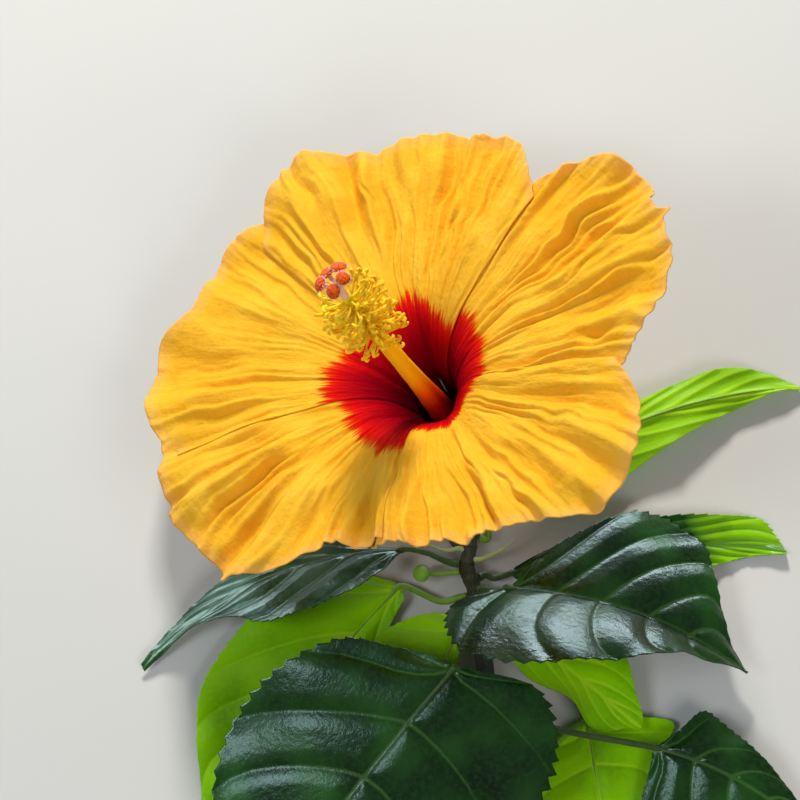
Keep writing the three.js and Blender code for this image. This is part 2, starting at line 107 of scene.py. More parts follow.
# Place and heading at shares t of a smooth line through the points
def onLine(points, t):
    points = np.asarray(points, float)
    ends = np.vstack([2 * points[0] - points[1], points, 2 * points[-1] - points[-2]])
    place = np.clip(t, 0, 1) * (len(points) - 1)
    low = np.minimum(len(points) - 2, np.floor(place)).astype(int)
    share = (place - low)[:, None]
    p0, p1, p2, p3 = (ends[low + i] for i in range(4))
    gap = lambda a, b: np.maximum(np.linalg.norm(a - b, axis=1), 1e-6)[:, None] ** 0.5
    g0, g1, g2 = gap(p0, p1), gap(p1, p2), gap(p2, p3)
    m1 = ((p1 - p0) / g0 - (p2 - p0) / (g0 + g1) + (p2 - p1) / g1) * g1
    m2 = ((p2 - p1) / g1 - (p3 - p1) / (g1 + g2) + (p3 - p2) / g2) * g1
    c2, c3 = 3 * (p2 - p1) - 2 * m1 - m2, 2 * (p1 - p2) + m1 + m2
    centre = p1 + m1 * share + c2 * share ** 2 + c3 * share ** 3
    heading = m1 + 2 * c2 * share + 3 * c3 * share ** 2
    return centre, heading / np.linalg.norm(heading, axis=1)[:, None]


# Mesh helpers

joinGap = 1e-7


def addObject(name, data):
    made = bpy.data.objects.new(name, data)
    bpy.context.scene.collection.objects.link(made)
    return made


# A grid in bm moved to surface(u, v), u from 0 to 1 along and v from -1 to 1 across
def addSheet(bm, columns, rows, surface, **layers):
    for name in layers:
        bm.verts.layers.float_vector.new(name)
    made = bmesh.ops.create_grid(bm, x_segments=columns, y_segments=rows, size=1)["verts"]
    flat = np.array([vert.co[:] for vert in made])
    u, v = (flat[:, 1] + 1) / 2, flat[:, 0]
    for vert, place in zip(made, toWorld(surface(u, v))):
        vert.co = place
    for name, values in layers.items():
        layer = bm.verts.layers.float_vector.get(name)
        for vert, value in zip(made, values(u, v)):
            vert[layer] = value


# A closed round limb in bm along a smooth line, rolled up from a grid
def addLimb(bm, line, radii, sides, rings, relief=None, layer=None):
    if layer and not bm.verts.layers.float_vector.get(layer[0]):
        bm.verts.layers.float_vector.new(layer[0])
    made = bmesh.ops.create_grid(bm, x_segments=sides, y_segments=rings, size=1)["verts"]
    flat = np.array([vert.co[:] for vert in made])
    t, around = (flat[:, 1] + 1) / 2, flat[:, 0] * np.pi
    centre, heading = onLine(line, t)
    whole = np.asarray(line[-1], float) - np.asarray(line[0], float)
    steep = abs(whole[2]) > 0.8 * np.linalg.norm(whole)
    reference = np.array([0, 1, 0]) if steep else np.array([0, 0, 1])
    side = np.cross(reference, heading)
    side /= np.linalg.norm(side, axis=1)[:, None]
    up = np.cross(heading, side)
    radius = along(radii, t) + (relief(t, around) if relief else 0)
    places = centre + (side * np.cos(around)[:, None] + up * np.sin(around)[:, None]) * radius[:, None]
    for vert, place in zip(made, toWorld(places)):
        vert.co = place
    if layer:
        store = bm.verts.layers.float_vector.get(layer[0])
        for vert, value in zip(made, layer[1](t, around)):
            vert[store] = value
    bmesh.ops.remove_doubles(bm, verts=made, dist=joinGap)
    made = [vert for vert in made if vert.is_valid]
    rim = list({edge for vert in made for edge in vert.link_edges if edge.is_boundary})
    caps = bmesh.ops.holes_fill(bm, edges=rim, sides=sides + 1)["faces"]
    bmesh.ops.recalc_face_normals(bm, faces=list({f for vert in made for f in vert.link_faces}))
    return made, caps


# Direction as a turn of the z axis
def turned(direction):
    return Vector(direction).to_track_quat("Z", "Y").to_matrix().to_4x4()


# Puts round shapes, made at the origin in metres, at a place of the sprig in millimetres
def placed(place):
    return layMatrix @ Matrix.Translation(Vector(place) / 1000)


def finishPiece(bm, name, materials, node, thickness=0):
    for face in bm.faces:
        face.smooth = True
    mesh = bpy.data.meshes.new(name)
    bm.to_mesh(mesh)
    bm.free()
    piece = addObject(name, mesh)
    for material in materials:
        mesh.materials.append(material)
    if thickness:
        wall = piece.modifiers.new("wall", "SOLIDIFY")
        wall.thickness = thickness / 1000
        wall.offset = 0
        wall.material_offset = len(materials) - 1
    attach(piece, "root")
    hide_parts(node)


# Material helpers

def newMaterial(name):
    material = bpy.data.materials.new(name)
    material.use_nodes = True
    tree = material.node_tree
    return material, tree, tree.nodes["Principled BSDF"]


def addNode(tree, kind, values=None, **settings):
    node = tree.nodes.new(kind)
    for key, value in settings.items():
        setattr(node, key, value)
    for key, value in (values or {}).items():
        if isinstance(value, bpy.types.NodeSocket):
            tree.links.new(value, node.inputs[key])
        else:
            node.inputs[key].default_value = value
    return node


def addRamp(tree, factor, stops):
    ramp = addNode(tree, "ShaderNodeValToRGB", {"Fac": factor})
    elements = ramp.color_ramp.elements
    while len(elements) < len(stops):
        elements.new(0.5)
    for element, (position, color) in zip(elements, stops):
        element.position = position
        element.color = (*color, 1)
    return ramp.outputs["Color"]


def addMath(tree, operation, a, b=0.0, c=0.0):
    return addNode(tree, "ShaderNodeMath", {0: a, 1: b, 2: c}, operation=operation).outputs[0]


def mixColor(tree, factor, a, b):
    mix = addNode(tree, "ShaderNodeMix", {"Factor": factor}, data_type="RGBA")
    for key, value in (("A", a), ("B", b)):
        socket = [s for s in mix.inputs if s.name == key and s.type == "RGBA"][0]
        if isinstance(value, bpy.types.NodeSocket):
            tree.links.new(value, socket)
        else:
            socket.default_value = (*value, 1)
    return [s for s in mix.outputs if s.type == "RGBA"][0]


def addMask(tree, value, low, high, interpolation="LINEAR"):
    return addNode(tree, "ShaderNodeMapRange", {"Value": value, "From Min": low, "From Max": high},
                   interpolation_type=interpolation).outputs[0]


def addNoise(tree, scale, detail):
    where = addNode(tree, "ShaderNodeTexCoord").outputs["Object"]
    noise = addNode(tree, "ShaderNodeTexNoise", {"Vector": where, "Scale": scale, "Detail": detail})
    return noise.outputs["Fac"]


def readMap(tree, name):
    place = addNode(tree, "ShaderNodeAttribute", attribute_name=name).outputs["Vector"]
    return place, addNode(tree, "ShaderNodeSeparateXYZ", {0: place}).outputs


# Links the colour and, with its strength and depth, the height of a skin, and sets its even values
def finishSkin(tree, shader, color, relief, even):
    tree.links.new(color, shader.inputs["Base Color"])
    if relief:
        height, strength, depth = relief
        bump = addNode(tree, "ShaderNodeBump", {"Height": height, "Strength": strength, "Distance": depth})
        tree.links.new(bump.outputs[0], shader.inputs["Normal"])
    for name, value in even.items():
        shader.inputs[name].default_value = value


# Node group: noise drawn out along one direction, as veins, crepe and fibres are
def makeStreaks():
    group = bpy.data.node_groups.new("streaks", "ShaderNodeTree")
    for name, kind, value in (("Place", "NodeSocketVector", None), ("Across", "NodeSocketFloat", 60),
                              ("Along", "NodeSocketFloat", 6), ("Detail", "NodeSocketFloat", 3)):
        socket = group.interface.new_socket(name=name, in_out="INPUT", socket_type=kind)
        if value is not None:
            socket.default_value = value
    group.interface.new_socket(name="Streak", in_out="OUTPUT", socket_type="NodeSocketFloat")
    ins = group.nodes.new("NodeGroupInput")
    outs = group.nodes.new("NodeGroupOutput")
    scale = addNode(group, "ShaderNodeCombineXYZ",
                    {"X": ins.outputs["Across"], "Y": ins.outputs["Along"], "Z": 1})
    stretched = addNode(group, "ShaderNodeVectorMath", {0: ins.outputs["Place"], 1: scale.outputs[0]},
                        operation="MULTIPLY")
    noise = addNode(group, "ShaderNodeTexNoise", {"Vector": stretched.outputs[0], "Scale": 1,
                                                  "Detail": ins.outputs["Detail"], "Roughness": 0.55})
    group.links.new(noise.outputs["Fac"], outs.inputs["Streak"])
    return group


streaks = makeStreaks()


def addStreaks(tree, place, across, along, detail=3.0):
    return addNode(tree, "ShaderNodeGroup", {"Place": place, "Across": across, "Along": along,
                                             "Detail": detail}, node_tree=streaks).outputs["Streak"]


# The bloom's own frame

bloom = {"foot": (12.5, -5, 0), "tilt": 38, "lean": (-0.661, 0.751, 0)}
lean = np.array(bloom["lean"])
facing = lean * math.sin(math.radians(bloom["tilt"]))
facing[2] = math.cos(math.radians(bloom["tilt"]))
bloomAcross = np.array([lean[1], -lean[0], 0])
bloomUp = np.cross(facing, bloomAcross)


def inBloom(radius, azimuth, height):
    radius, azimuth, height = np.broadcast_arrays(*(np.asarray(a, float) for a in (radius, azimuth, height)))
    return (np.array(bloom["foot"]) + (radius * np.cos(azimuth))[..., None] * bloomAcross
            + (radius * np.sin(azimuth))[..., None] * bloomUp + height[..., None] * facing)


corolla = {
    "footRadius": 4.3, "steepFoot": 9, "flareAngle": 78, "flareFrom": 5, "flareTo": 38,
    "curlFrom": 34, "curlTo": 82, "clawHalfAngle": 36, "ruffleHeight": 1.6,
    "ruffles": [(13, 0.4, 0.55), (22, 1.9, 0.45)], "steps": 70,
    "layer": 0.3, "layerGrowth": 0.012, "thickness": 0.3, "columns": 190, "rows": 150,
}
# low and high are how far each side lies over or under its neighbour, eye the reach of the red eye in
# millimetres from one side to the other
petals = {
    "topPetal": {
        "node": "petal_top", "claw": 46, "from": 11, "to": 97, "curl": 10, "low": 0.55, "high": 0.5,
        "rim": [62, 70, 73, 74, 74, 73, 74, 78, 80, 77, 68], "eye": [25, 27, 31.5, 29.5, 26]},
    "leftPetal": {
        "node": "petal_left", "claw": 118, "from": 80, "to": 157, "curl": 8, "low": -0.45, "high": 0.4,
        "rim": [62, 70, 75, 77, 75, 74, 80, 80, 79, 76, 71], "eye": [29, 29.5, 30, 32.5, 32]},
    "lowerLeftPetal": {
        "node": "petal_lower_left", "claw": 190, "from": 137, "to": 229, "curl": 22, "low": -0.5, "high": 0.3,
        "rim": [62, 72, 76, 77, 77, 77, 76, 68, 59, 58, 57], "eye": [29, 29, 30, 31, 31]},
    "lowerRightPetal": {
        "node": "petal_lower_right", "claw": 262, "from": 205, "to": 311, "curl": 28, "low": -0.35,
        "high": 0.6,
        "rim": [50, 54, 58, 58, 60, 64, 69, 77, 79, 75, 67], "eye": [27, 22.5, 20.5, 20, 20.5, 22.5, 27]},
    "rightPetal": {
        "node": "petal_right", "claw": 334, "from": 299, "to": 385, "curl": -8, "low": -0.8, "high": -0.6,
        "rim": [58, 65, 72, 79, 82, 82, 81, 79, 72, 62, 54], "eye": [27, 29, 29.5, 30, 30]},
}


def corollaLine(s, azimuth):
    total, weights = 0, 0
    for petal in petals.values():
        middle = math.radians((petal["from"] + petal["to"]) / 2)
        weight = np.exp(4 * (np.cos(azimuth - middle) - 1))
        total, weights = total + weight * petal["curl"], weights + weight
    curl = total / weights
    radius, height = np.full_like(s, corolla["footRadius"]), np.zeros_like(s)
    for i in range(corolla["steps"]):
        middle = (i + 0.5) * s / corolla["steps"]
        angle = np.radians(corolla["steepFoot"]
                           + (corolla["flareAngle"] - corolla["steepFoot"])
                           * smoothStep(middle, corolla["flareFrom"], corolla["flareTo"])
                           + curl * smoothStep(middle, corolla["curlFrom"], corolla["curlTo"]))
        radius = radius + np.sin(angle) * s / corolla["steps"]
        height = height + np.cos(angle) * s / corolla["steps"]
    return radius, height, angle


# Petals

# All petals share one relief, so that overlapping sides nest. Sizes are in millimetres and places in
# degrees round the bloom. Each wave, pleat and fold has its height, how many there are in a full turn, its
# length outwards, how far it wanders, the seed of its noise and between which reaches it grows. Creases
# and tips have a place, a height and a width, and creaseMean keeps the creases from lifting the whole
# petal. calm, busy and lip have a place, a width and a strength, and each chink between the petals' feet
# has its place, reach and two half sizes.
petalRelief = {
    "wave": (2.2, 30, 60, 0.5, 73, (36, 66)), "pleat": (1.0, 112, 30, 1, 74, (20, 50)),
    "finePleat": (0.45, 290, 12, 1.3, 75, (30, 56)), "fold": (2.1, 46, 17, 1.6, 76, (32, 60)),
    "creases": [(18, 1.6, 3), (27, 2.4, 2.3), (36, 2.8, 2.4), (45, 2.6, 2.2), (54, 3, 2.4), (64, 2.6, 2.4),
                (75, 2.8, 2.8), (86, 2, 3), (104, 1.4, 4), (126, 1.2, 4), (141, 1.5, 3.5), (160, 2, 3.5),
                (171, 2.2, 2.6), (182, 2.4, 2.6), (193, 2.2, 2.6), (205, 2.4, 2.8), (216, 2, 2.6),
                (227, 2.6, 2.4), (236, 3, 2.2), (245, 2.8, 2.2), (254, 3.2, 2.3), (263, 3, 2.2),
                (272, 3.2, 2.4), (282, 2.8, 2.5), (293, 2.4, 3), (322, 2, 3.5), (335, 2.2, 2.8),
                (345, 2.6, 2.8), (356, 2.6, 3)],
    "creaseShare": 0.8, "creaseMean": 0.0325, "creaseGrows": (34, 72),
    "calm": (120, 28, 0.65), "busy": (250, 40, 0.3), "lip": (267, 34, 3.6), "channel": 0.6,
    "scallops": [(1.3, 76), (0.3, 190)], "frill": (1.6, 64),
    "tips": [(340, 3, 1.1), (0, 2, 7)], "chinks": [(43.2, 7.8, 2.6, 2.2), (325, 8.3, 2.6, 2.2)],
}


def ridged(noise):
    return 1 - 2.4 * np.abs(noise)


def degreesFrom(around, place):
    return (around - place + 180) % 360 - 180


def petalPlace(petal, u, v):
    spread = petal["from"] + (petal["to"] - petal["from"]) * (v + 1) / 2
    level = np.full_like(v, 0.5)
    scallop = sum(height * softNoise(spread / 360 * count, level, 3 + count, count)
                  for height, count in petalRelief["scallops"])
    tips = sum(rise * np.exp(-(degreesFrom(spread, place) / width) ** 2)
               for place, rise, width in petalRelief["tips"])
    rim = along(petal["rim"], (v + 1) / 2) + (scallop + tips) * smoothStep(1 - np.abs(v), 0, 0.08)
    s = u * rim + 0.1
    claw = petal["claw"] + v * corolla["clawHalfAngle"]
    azimuth = np.radians(claw + (spread - claw) * smoothStep(s, 4, 40))
    return s, azimuth, rim


# Height of waves, pleats, folds and creases over the plain funnel
def petalFolds(s, azimuth):
    turns, around = azimuth / (2 * np.pi), np.degrees(azimuth) % 360
    drift = 0.006 * softNoise(turns * 24, s / 13, 71, 24) + 0.0025 * softNoise(turns * 60, s / 5, 72, 60)

    def relief(name, shape=lambda noise: noise):
        height, count, length, wander, seed, grows = petalRelief[name]
        noise = softNoise((turns + drift * wander) * count, s / length, seed, count)
        return height * shape(noise) * smoothStep(s, *grows)

    lively = 1 + sum(sign * share * np.exp(-((around - place) / width) ** 2)
                     for sign, (place, width, share) in ((-1, petalRelief["calm"]), (1, petalRelief["busy"])))
    folds = relief("wave") + lively * (relief("pleat", ridged) + relief("finePleat") + relief("fold"))
    grown = petalRelief["creaseShare"] * smoothStep(s, *petalRelief["creaseGrows"])
    for middle, rise, width in petalRelief["creases"]:
        gap = degreesFrom(around, middle + 2.5 * softNoise(s / 14, s * 0 + middle, 79))
        folds = folds + rise * (np.exp(-(gap / width) ** 2) - petalRelief["creaseMean"]) * grown
    return folds


def petalSurface(petal, u, v):
    s, azimuth, rim = petalPlace(petal, u, v)
    radius, height, angle = corollaLine(s, azimuth)
    side = np.where(v > 0, petal["high"], petal["low"])
    offset = side * v * v * (corolla["layer"] + corolla["layerGrowth"] * s) * smoothStep(s, 2, 14)
    ruffle = sum(share * np.sin(waves * azimuth + phase) for waves, phase, share in corolla["ruffles"])
    offset = offset + ruffle * corolla["ruffleHeight"] * smoothStep(s, 34, 80) + petalFolds(s, azimuth)
    channel = np.exp(-((v - 0.02) / 0.1) ** 2) * smoothStep(s, 8, 20) * smoothStep(70 - s, 0, 40)
    place, width, depth = petalRelief["lip"]
    lip = np.exp(-((np.degrees(azimuth) % 360 - place) / width) ** 2)
    dip = smoothStep(s, 8, 22) * (1 - smoothStep(s, 30, 70)) * lip
    ruffled, count = petalRelief["frill"]
    frill = ruffled * turnNoise(azimuth, count, s / 400, 77)
    frill = frill * smoothStep(rim - s, 11, 0) * smoothStep(1 - np.abs(v), 0.04, 0.3)
    offset = offset - petalRelief["channel"] * channel - depth * dip + frill
    return inBloom(radius - np.cos(angle) * offset, azimuth, height + np.sin(angle) * offset)


# x: turns round the bloom, y: reach from the foot in tenths of a metre, z: past the eye's edge in centimetres
def petalMap(petal, u, v):
    s, azimuth = petalPlace(petal, u, v)[:2]
    eye = along(petal["eye"], (v + 1) / 2) + turnNoise(azimuth, 70, s * 0 + 0.5, 78)
    return np.stack([azimuth / (2 * np.pi), s / 100, (s - eye) / 10], axis=1)


# x: how near the rim is, in centimetres; y: how high a fold, in centimetres, also used to paint shade into
# the valleys; z: how much of a chink it is
def petalEdge(petal, u, v):
    s, azimuth, rim = petalPlace(petal, u, v)
    chink = sum(np.exp(-(degreesFrom(np.degrees(azimuth), place) / wide) ** 4 - ((s - reach) / high) ** 4)
                for place, reach, wide, high in petalRelief["chinks"])
    return np.stack([(rim - s) / 10, petalFolds(s, azimuth) / 10, chink], axis=1)


def makePetalSkin():
    material, tree, shader = newMaterial("petalSkin")
    place, parts = readMap(tree, "petalMap")
    edge = readMap(tree, "petalEdge")[1]
    feather = addStreaks(tree, place, 190, 7, 4)
    fine = addStreaks(tree, place, 420, 30, 3)
    crepe = addStreaks(tree, place, 150, 55, 4)
    broad = addStreaks(tree, place, 22, 9, 2)
    past = addMath(tree, "ADD", addMath(tree, "SUBTRACT", feather, 0.5), parts["Z"])
    eyeShare = addMath(tree, "MULTIPLY_ADD", past, 0.4, 0.75)
    gold = addRamp(tree, broad, [(0.3, (0.86, 0.38, 0.006)), (0.52, (0.89, 0.435, 0.015)),
                                 (0.72, (0.91, 0.48, 0.03))])
    gold = mixColor(tree, addMath(tree, "MULTIPLY", fine, 0.4), gold, (0.94, 0.57, 0.09))
    # Painted shade: where the folds dip, the gold is darkened towards deep orange
    paintedValleyShade = addMath(tree, "MULTIPLY", addMask(tree, edge["Y"], 0.12, -0.16), 0.3)
    gold = mixColor(tree, paintedValleyShade, gold, (0.78, 0.35, 0.004))
    margin = addMath(tree, "MULTIPLY", addMask(tree, edge["X"], 0.4, 0), 0.55)
    gold = mixColor(tree, margin, gold, (0.92, 0.45, 0.13))
    eye = addRamp(tree, eyeShare, [(0.0, (0.05, 0.0, 0.003)), (0.28, (0.22, 0.0, 0.006)),
                                   (0.5, (0.45, 0.002, 0.007)), (0.66, (0.72, 0.005, 0.005)),
                                   (0.735, (0.88, 0.014, 0.003)), (0.775, (0.88, 0.08, 0.001)),
                                   (0.84, (0.9, 0.31, 0.004))])
    eye = mixColor(tree, addMath(tree, "MULTIPLY", fine, 0.45), eye, (0.11, 0.0, 0.004))
    outside = addMask(tree, eyeShare, 0.76, 0.87, "SMOOTHSTEP")
    color = mixColor(tree, edge["Z"], mixColor(tree, outside, eye, gold), (0.6, 0.85, 0.3))
    height = addMath(tree, "MULTIPLY_ADD", crepe, 0.7, addMath(tree, "MULTIPLY", fine, 0.45))
    finishSkin(tree, shader, color, (height, 0.5, 0.0012), {
        "Roughness": 0.55, "Specular IOR Level": 0.01, "Subsurface Weight": 0.18,
        "Subsurface Radius": (1.0, 0.45, 0.08), "Subsurface Scale": 0.0018})
    return material


petalSkin = makePetalSkin()
for name, petal in petals.items():
    bm = bmesh.new()
    addSheet(bm, corolla["columns"], corolla["rows"], lambda u, v: petalSurface(petal, u, v),
             petalMap=lambda u, v: petalMap(petal, u, v), petalEdge=lambda u, v: petalEdge(petal, u, v))
    finishPiece(bm, name, [petalSkin], petal["node"], corolla["thickness"])
print("petals made")


# Stamen column, style and stigmas

column = {
    "line": [-0.2, 8, 20, 35, 49, 60.5], "radii": [3.6, 3.1, 2.3, 1.9, 1.7, 1.2], "sides": 32, "rings": 90,
    "filaments": 150, "lowest": 42, "highest": 59.5, "shortest": 4.4, "longest": 6.4, "forward": 0.35,
    "turn": 137.5, "filamentRadii": [0.312, 0.24, 0.216, 0.192],
    "antherRadii": [0.21, 0.42, 0.399, 0.42, 0.21], "antherLength": 1.9,
}


def makeColumnSkin():
    material, tree, shader = newMaterial("columnSkin")
    place, parts = readMap(tree, "columnMap")
    streak = addStreaks(tree, place, 14, 3, 3)
    level = addMath(tree, "MULTIPLY_ADD", addMath(tree, "SUBTRACT", streak, 0.5), 0.16, parts["Y"])
    color = addRamp(tree, level, [(0.02, (0.25, 0.0, 0.003)), (0.26, (0.55, 0.01, 0.001)),
                                  (0.36, (0.95, 0.12, 0.001)), (0.46, (1.0, 0.44, 0.004)),
                                  (0.6, (1.0, 0.58, 0.01)), (1.0, (1.0, 0.68, 0.02))])
    finishSkin(tree, shader, color, (streak, 0.3, 0.0006), {
        "Roughness": 0.42, "Specular IOR Level": 0.1, "Subsurface Weight": 0.6,
        "Subsurface Radius": (1.0, 0.5, 0.1), "Subsurface Scale": 0.003})
    return material


def makePollen():
    material, tree, shader = newMaterial("pollen")
    grain = addNoise(tree, 900, 2)
    color = addRamp(tree, grain, [(0.3, (0.95, 0.5, 0.004)), (0.6, (1.0, 0.68, 0.03))])
    finishSkin(tree, shader, color, (grain, 0.5, 0.0003), {
        "Roughness": 0.7, "Specular IOR Level": 0.1, "Subsurface Weight": 0.4,
        "Subsurface Radius": (1.0, 0.6, 0.05), "Subsurface Scale": 0.001})
    return material


columnSkin, pollen = makeColumnSkin(), makePollen()


# A stamen's filament at one azimuth and height, with its curved anther across the tip
def addStamen(bm, share, azimuth, height, chance):
    length = column["shortest"] + (column["longest"] - column["shortest"]) * share + chance.uniform(-0.9, 1.1)
    length *= 1 - 0.35 * smoothStep(share, 0.7, 1)
    rise = column["forward"] * length * (0.5 + 0.7 * share) + chance.uniform(-0.5, 0.8)
    twist = chance.uniform(-0.16, 0.16)
    start = along(column["radii"], np.array([0.45 + 0.55 * share]))[0] - 0.3
    places = [inBloom(start + out * length, azimuth + turn * twist, height + up * rise)
              for out, turn, up in ((0, 0, 0), (0.4, 0.4, 0.25), (0.8, 1, 0.75), (1, 1.3, 1))]
    tone = lambda t, around: np.stack([around, t * 0 + 0.75 + 0.25 * t, t * 0], axis=1)
    addLimb(bm, places, column["filamentRadii"], 6, 6, None, ("columnMap", tone))
    tip = places[-1]
    across = chance.normal(size=3)
    across /= np.linalg.norm(across)
    bend = (places[-1] - places[-2]) / np.linalg.norm(places[-1] - places[-2])
    half = across * column["antherLength"] * chance.uniform(0.4, 0.6)
    curve = [tip + half * out + bend * back
             for out, back in ((1, -0.45), (0.55, 0.2), (0, 0.42), (-0.55, 0.2), (-1, -0.45))]
    made = addLimb(bm, curve, column["antherRadii"], 7, 8)[0]
    for face in {face for vert in made for face in vert.link_faces}:
        face.material_index = 1


def makeColumn():
    bm = bmesh.new()
    line = [inBloom(0, 0, height) for height in column["line"]]
    ribs = lambda t, around: 0.07 * np.sin(5 * around + 3 * t) + 0.05 * turnNoise(around, 18, t * 30, 21)
    mapping = lambda t, around: np.stack([around, t, t * 0], axis=1)
    addLimb(bm, line, column["radii"], column["sides"], column["rings"], ribs, ("columnMap", mapping))
    chance = np.random.default_rng(4)
    for i in range(column["filaments"]):
        share = (i + 0.5) / column["filaments"]
        azimuth = math.radians(i * column["turn"]) + chance.uniform(-0.2, 0.2)
        height = column["lowest"] + (column["highest"] - column["lowest"]) * share
        addStamen(bm, share, azimuth, height, chance)
    finishPiece(bm, "stamenBrush", [columnSkin, pollen], "stamen_column")


makeColumn()

style = {
    "foot": 60.2, "fork": 65, "tip": 69.8, "spread": 2.9, "bend": 1.5, "bendTo": 280, "firstBranch": 20,
    "radii": [1.0, 1.05, 0.9], "branchRadii": [0.55, 0.5, 0.55], "padRadius": 1.75, "padDepth": 0.9,
    "padNarrow": 0.92, "hairs": 80, "hairLength": 0.75, "hairRadii": (0.11, 0.06),
}


def makeStigmaSkin(name, low, high, roughness):
    material, tree, shader = newMaterial(name)
    grain = addNoise(tree, 2200, 3)
    color = addRamp(tree, grain, [(0.35, low), (0.65, high)])
    finishSkin(tree, shader, color, (grain, 0.8, 0.0002), {"Roughness": roughness, "Specular IOR Level": 0.2})
    return material


stigmaRed = makeStigmaSkin("stigmaRed", (0.5, 0.03, 0.002), (0.85, 0.15, 0.004), 0.8)
stigmaPale = makeStigmaSkin("stigmaPale", (0.9, 0.5, 0.34), (1.0, 0.74, 0.6), 0.6)


# A flat round pad on a branch's tip, with short hairs all over it
def addPad(bm, tip, azimuth, chance):
    outward = facing * 0.85 + (inBloom(1, azimuth, 0) - inBloom(0, azimuth, 0)) * 0.5
    place = placed(tip) @ turned(outward)
    radius = style["padRadius"] * chance.uniform(0.92, 1.08)
    size = Vector((radius, radius * style["padNarrow"], style["padDepth"])) / 1000
    pad = bmesh.ops.create_icosphere(bm, subdivisions=3, radius=1)["verts"]
    bmesh.ops.scale(bm, verts=pad, vec=size)
    bmesh.ops.transform(bm, matrix=place, verts=pad)
    for face in {face for vert in pad for face in vert.link_faces}:
        face.material_index = 1
    thick, thin = (half / 1000 for half in style["hairRadii"])
    for k in range(style["hairs"]):
        spin = 2 * math.pi * k / style["hairs"] + chance.uniform(-0.1, 0.1)
        low = chance.uniform(-0.75, 0.35)
        reach = math.sqrt(1 - low * low)
        out = Vector((math.cos(spin) * reach, math.sin(spin) * reach, low * 0.8))
        hair = bmesh.ops.create_cone(bm, cap_ends=True, segments=4, radius1=thick, radius2=thin,
                                     depth=style["hairLength"] / 1000)["verts"]
        bmesh.ops.transform(bm, matrix=place @ Matrix.Translation(out * size) @ turned(out), verts=hair)


def makeStyle():
    bm = bmesh.new()
    bend = inBloom(style["bend"], math.radians(style["bendTo"]), 0) - inBloom(0, 0, 0)
    line = [inBloom(0, 0, style["foot"]), inBloom(0, 0, style["foot"] + 1.4) + bend * 0.1,
            inBloom(0, 0, style["fork"] + 1) + bend]
    addLimb(bm, line, style["radii"], 16, 12)
    chance = np.random.default_rng(9)
    for i in range(5):
        azimuth = math.radians(style["firstBranch"] + 72 * i)
        places = ((0.2, style["fork"]), (1.4, style["fork"] + 2.2), (style["spread"], style["tip"] - i % 2))
        branch = [inBloom(radius, azimuth, height) + bend for radius, height in places]
        addLimb(bm, branch, style["branchRadii"], 10, 12)
        addPad(bm, branch[-1], azimuth, chance)
    finishPiece(bm, "stigmas", [stigmaPale, stigmaRed], "style_and_stigmas")


makeStyle()
print("column and stigmas made")


# Calyx, epicalyx and flower stalk

calyx = {
    "base": [(2.4, -7), (3.9, -6.2), (5.1, -4), (5.8, -1.6)], "floor": (4.7, -0.5), "wall": 0.9,
    "clearOfPetals": 0.75, "notch": 9, "lobe": 13, "firstLobe": 82, "rib": 0.12, "steps": 14, "sides": 100,
}


def makeGreenSkin(name, low, high, scale):
    material, tree, shader = newMaterial(name)
    where = addNode(tree, "ShaderNodeTexCoord").outputs["Object"]
    streak = addStreaks(tree, where, scale, scale, 3)
    color = mixColor(tree, addNoise(tree, 700, 3), addRamp(tree, streak, [(0.3, low), (0.7, high)]), high)
    finishSkin(tree, shader, color, (streak, 0.4, 0.0006), {"Roughness": 0.5, "Sheen Weight": 0.1})
    return material


calyxGreen = makeGreenSkin("calyxGreen", (0.1, 0.2, 0.02), (0.27, 0.42, 0.06), 260)
stipuleGreen = makeGreenSkin("stipuleGreen", (0.28, 0.4, 0.1), (0.52, 0.6, 0.2), 300)
budGreen = makeGreenSkin("budGreen", (0.12, 0.3, 0.02), (0.28, 0.52, 0.05), 300)


# Rings from the base up the outside, over the rim and down the inside to the floor
def calyxRing(place, azimuth):
    count, steps = len(calyx["base"]), calyx["steps"]
    lobe = 1 - np.abs(np.sin(2.5 * (azimuth - math.radians(calyx["firstLobe"]))))
    rib = calyx["rib"] * np.cos(10 * azimuth)
    if place < count:
        radius, height = calyx["base"][place]
        return inBloom(radius + rib * 0.5, azimuth, height)
    wall = place - count
    if wall > 2 * steps + 1:
        return inBloom(calyx["floor"][0], azimuth, calyx["floor"][1])
    inside = wall > steps
    reach = (2 * steps + 1 - wall if inside else wall) / steps
    s = reach * (calyx["notch"] + calyx["lobe"] * lobe ** 0.8)
    radius, height, angle = corollaLine(s, azimuth)
    offset = (calyx["clearOfPetals"] + (0.75 + 0.04 * s) * smoothStep(s, 2, 14)
              + (0 if inside else calyx["wall"] * (1 - 0.4 * reach) + rib * (1 - reach)))
    return inBloom(radius + np.cos(angle) * offset, azimuth, height - np.sin(angle) * offset)


def makeCalyx():
    bm = bmesh.new()
    rings, sides = len(calyx["base"]) + 2 * calyx["steps"] + 3, calyx["sides"]
    made = bmesh.ops.create_grid(bm, x_segments=sides, y_segments=rings - 1, size=1)["verts"]
    flat = np.array([vert.co[:] for vert in made])
    azimuth = (flat[:, 0] + 1) * np.pi
    ring = np.rint((flat[:, 1] + 1) / 2 * (rings - 1)).astype(int)
    places = np.zeros((len(made), 3))
    for place in range(rings):
        places[ring == place] = calyxRing(place, azimuth[ring == place])
    for vert, place in zip(made, toWorld(places)):
        vert.co = place
    bmesh.ops.remove_doubles(bm, verts=made, dist=joinGap)
    bmesh.ops.holes_fill(bm, edges=[edge for edge in bm.edges if edge.is_boundary], sides=sides + 1)
    bmesh.ops.recalc_face_normals(bm, faces=bm.faces[:])
    finishPiece(bm, "calyxCup", [calyxGreen], "calyx")


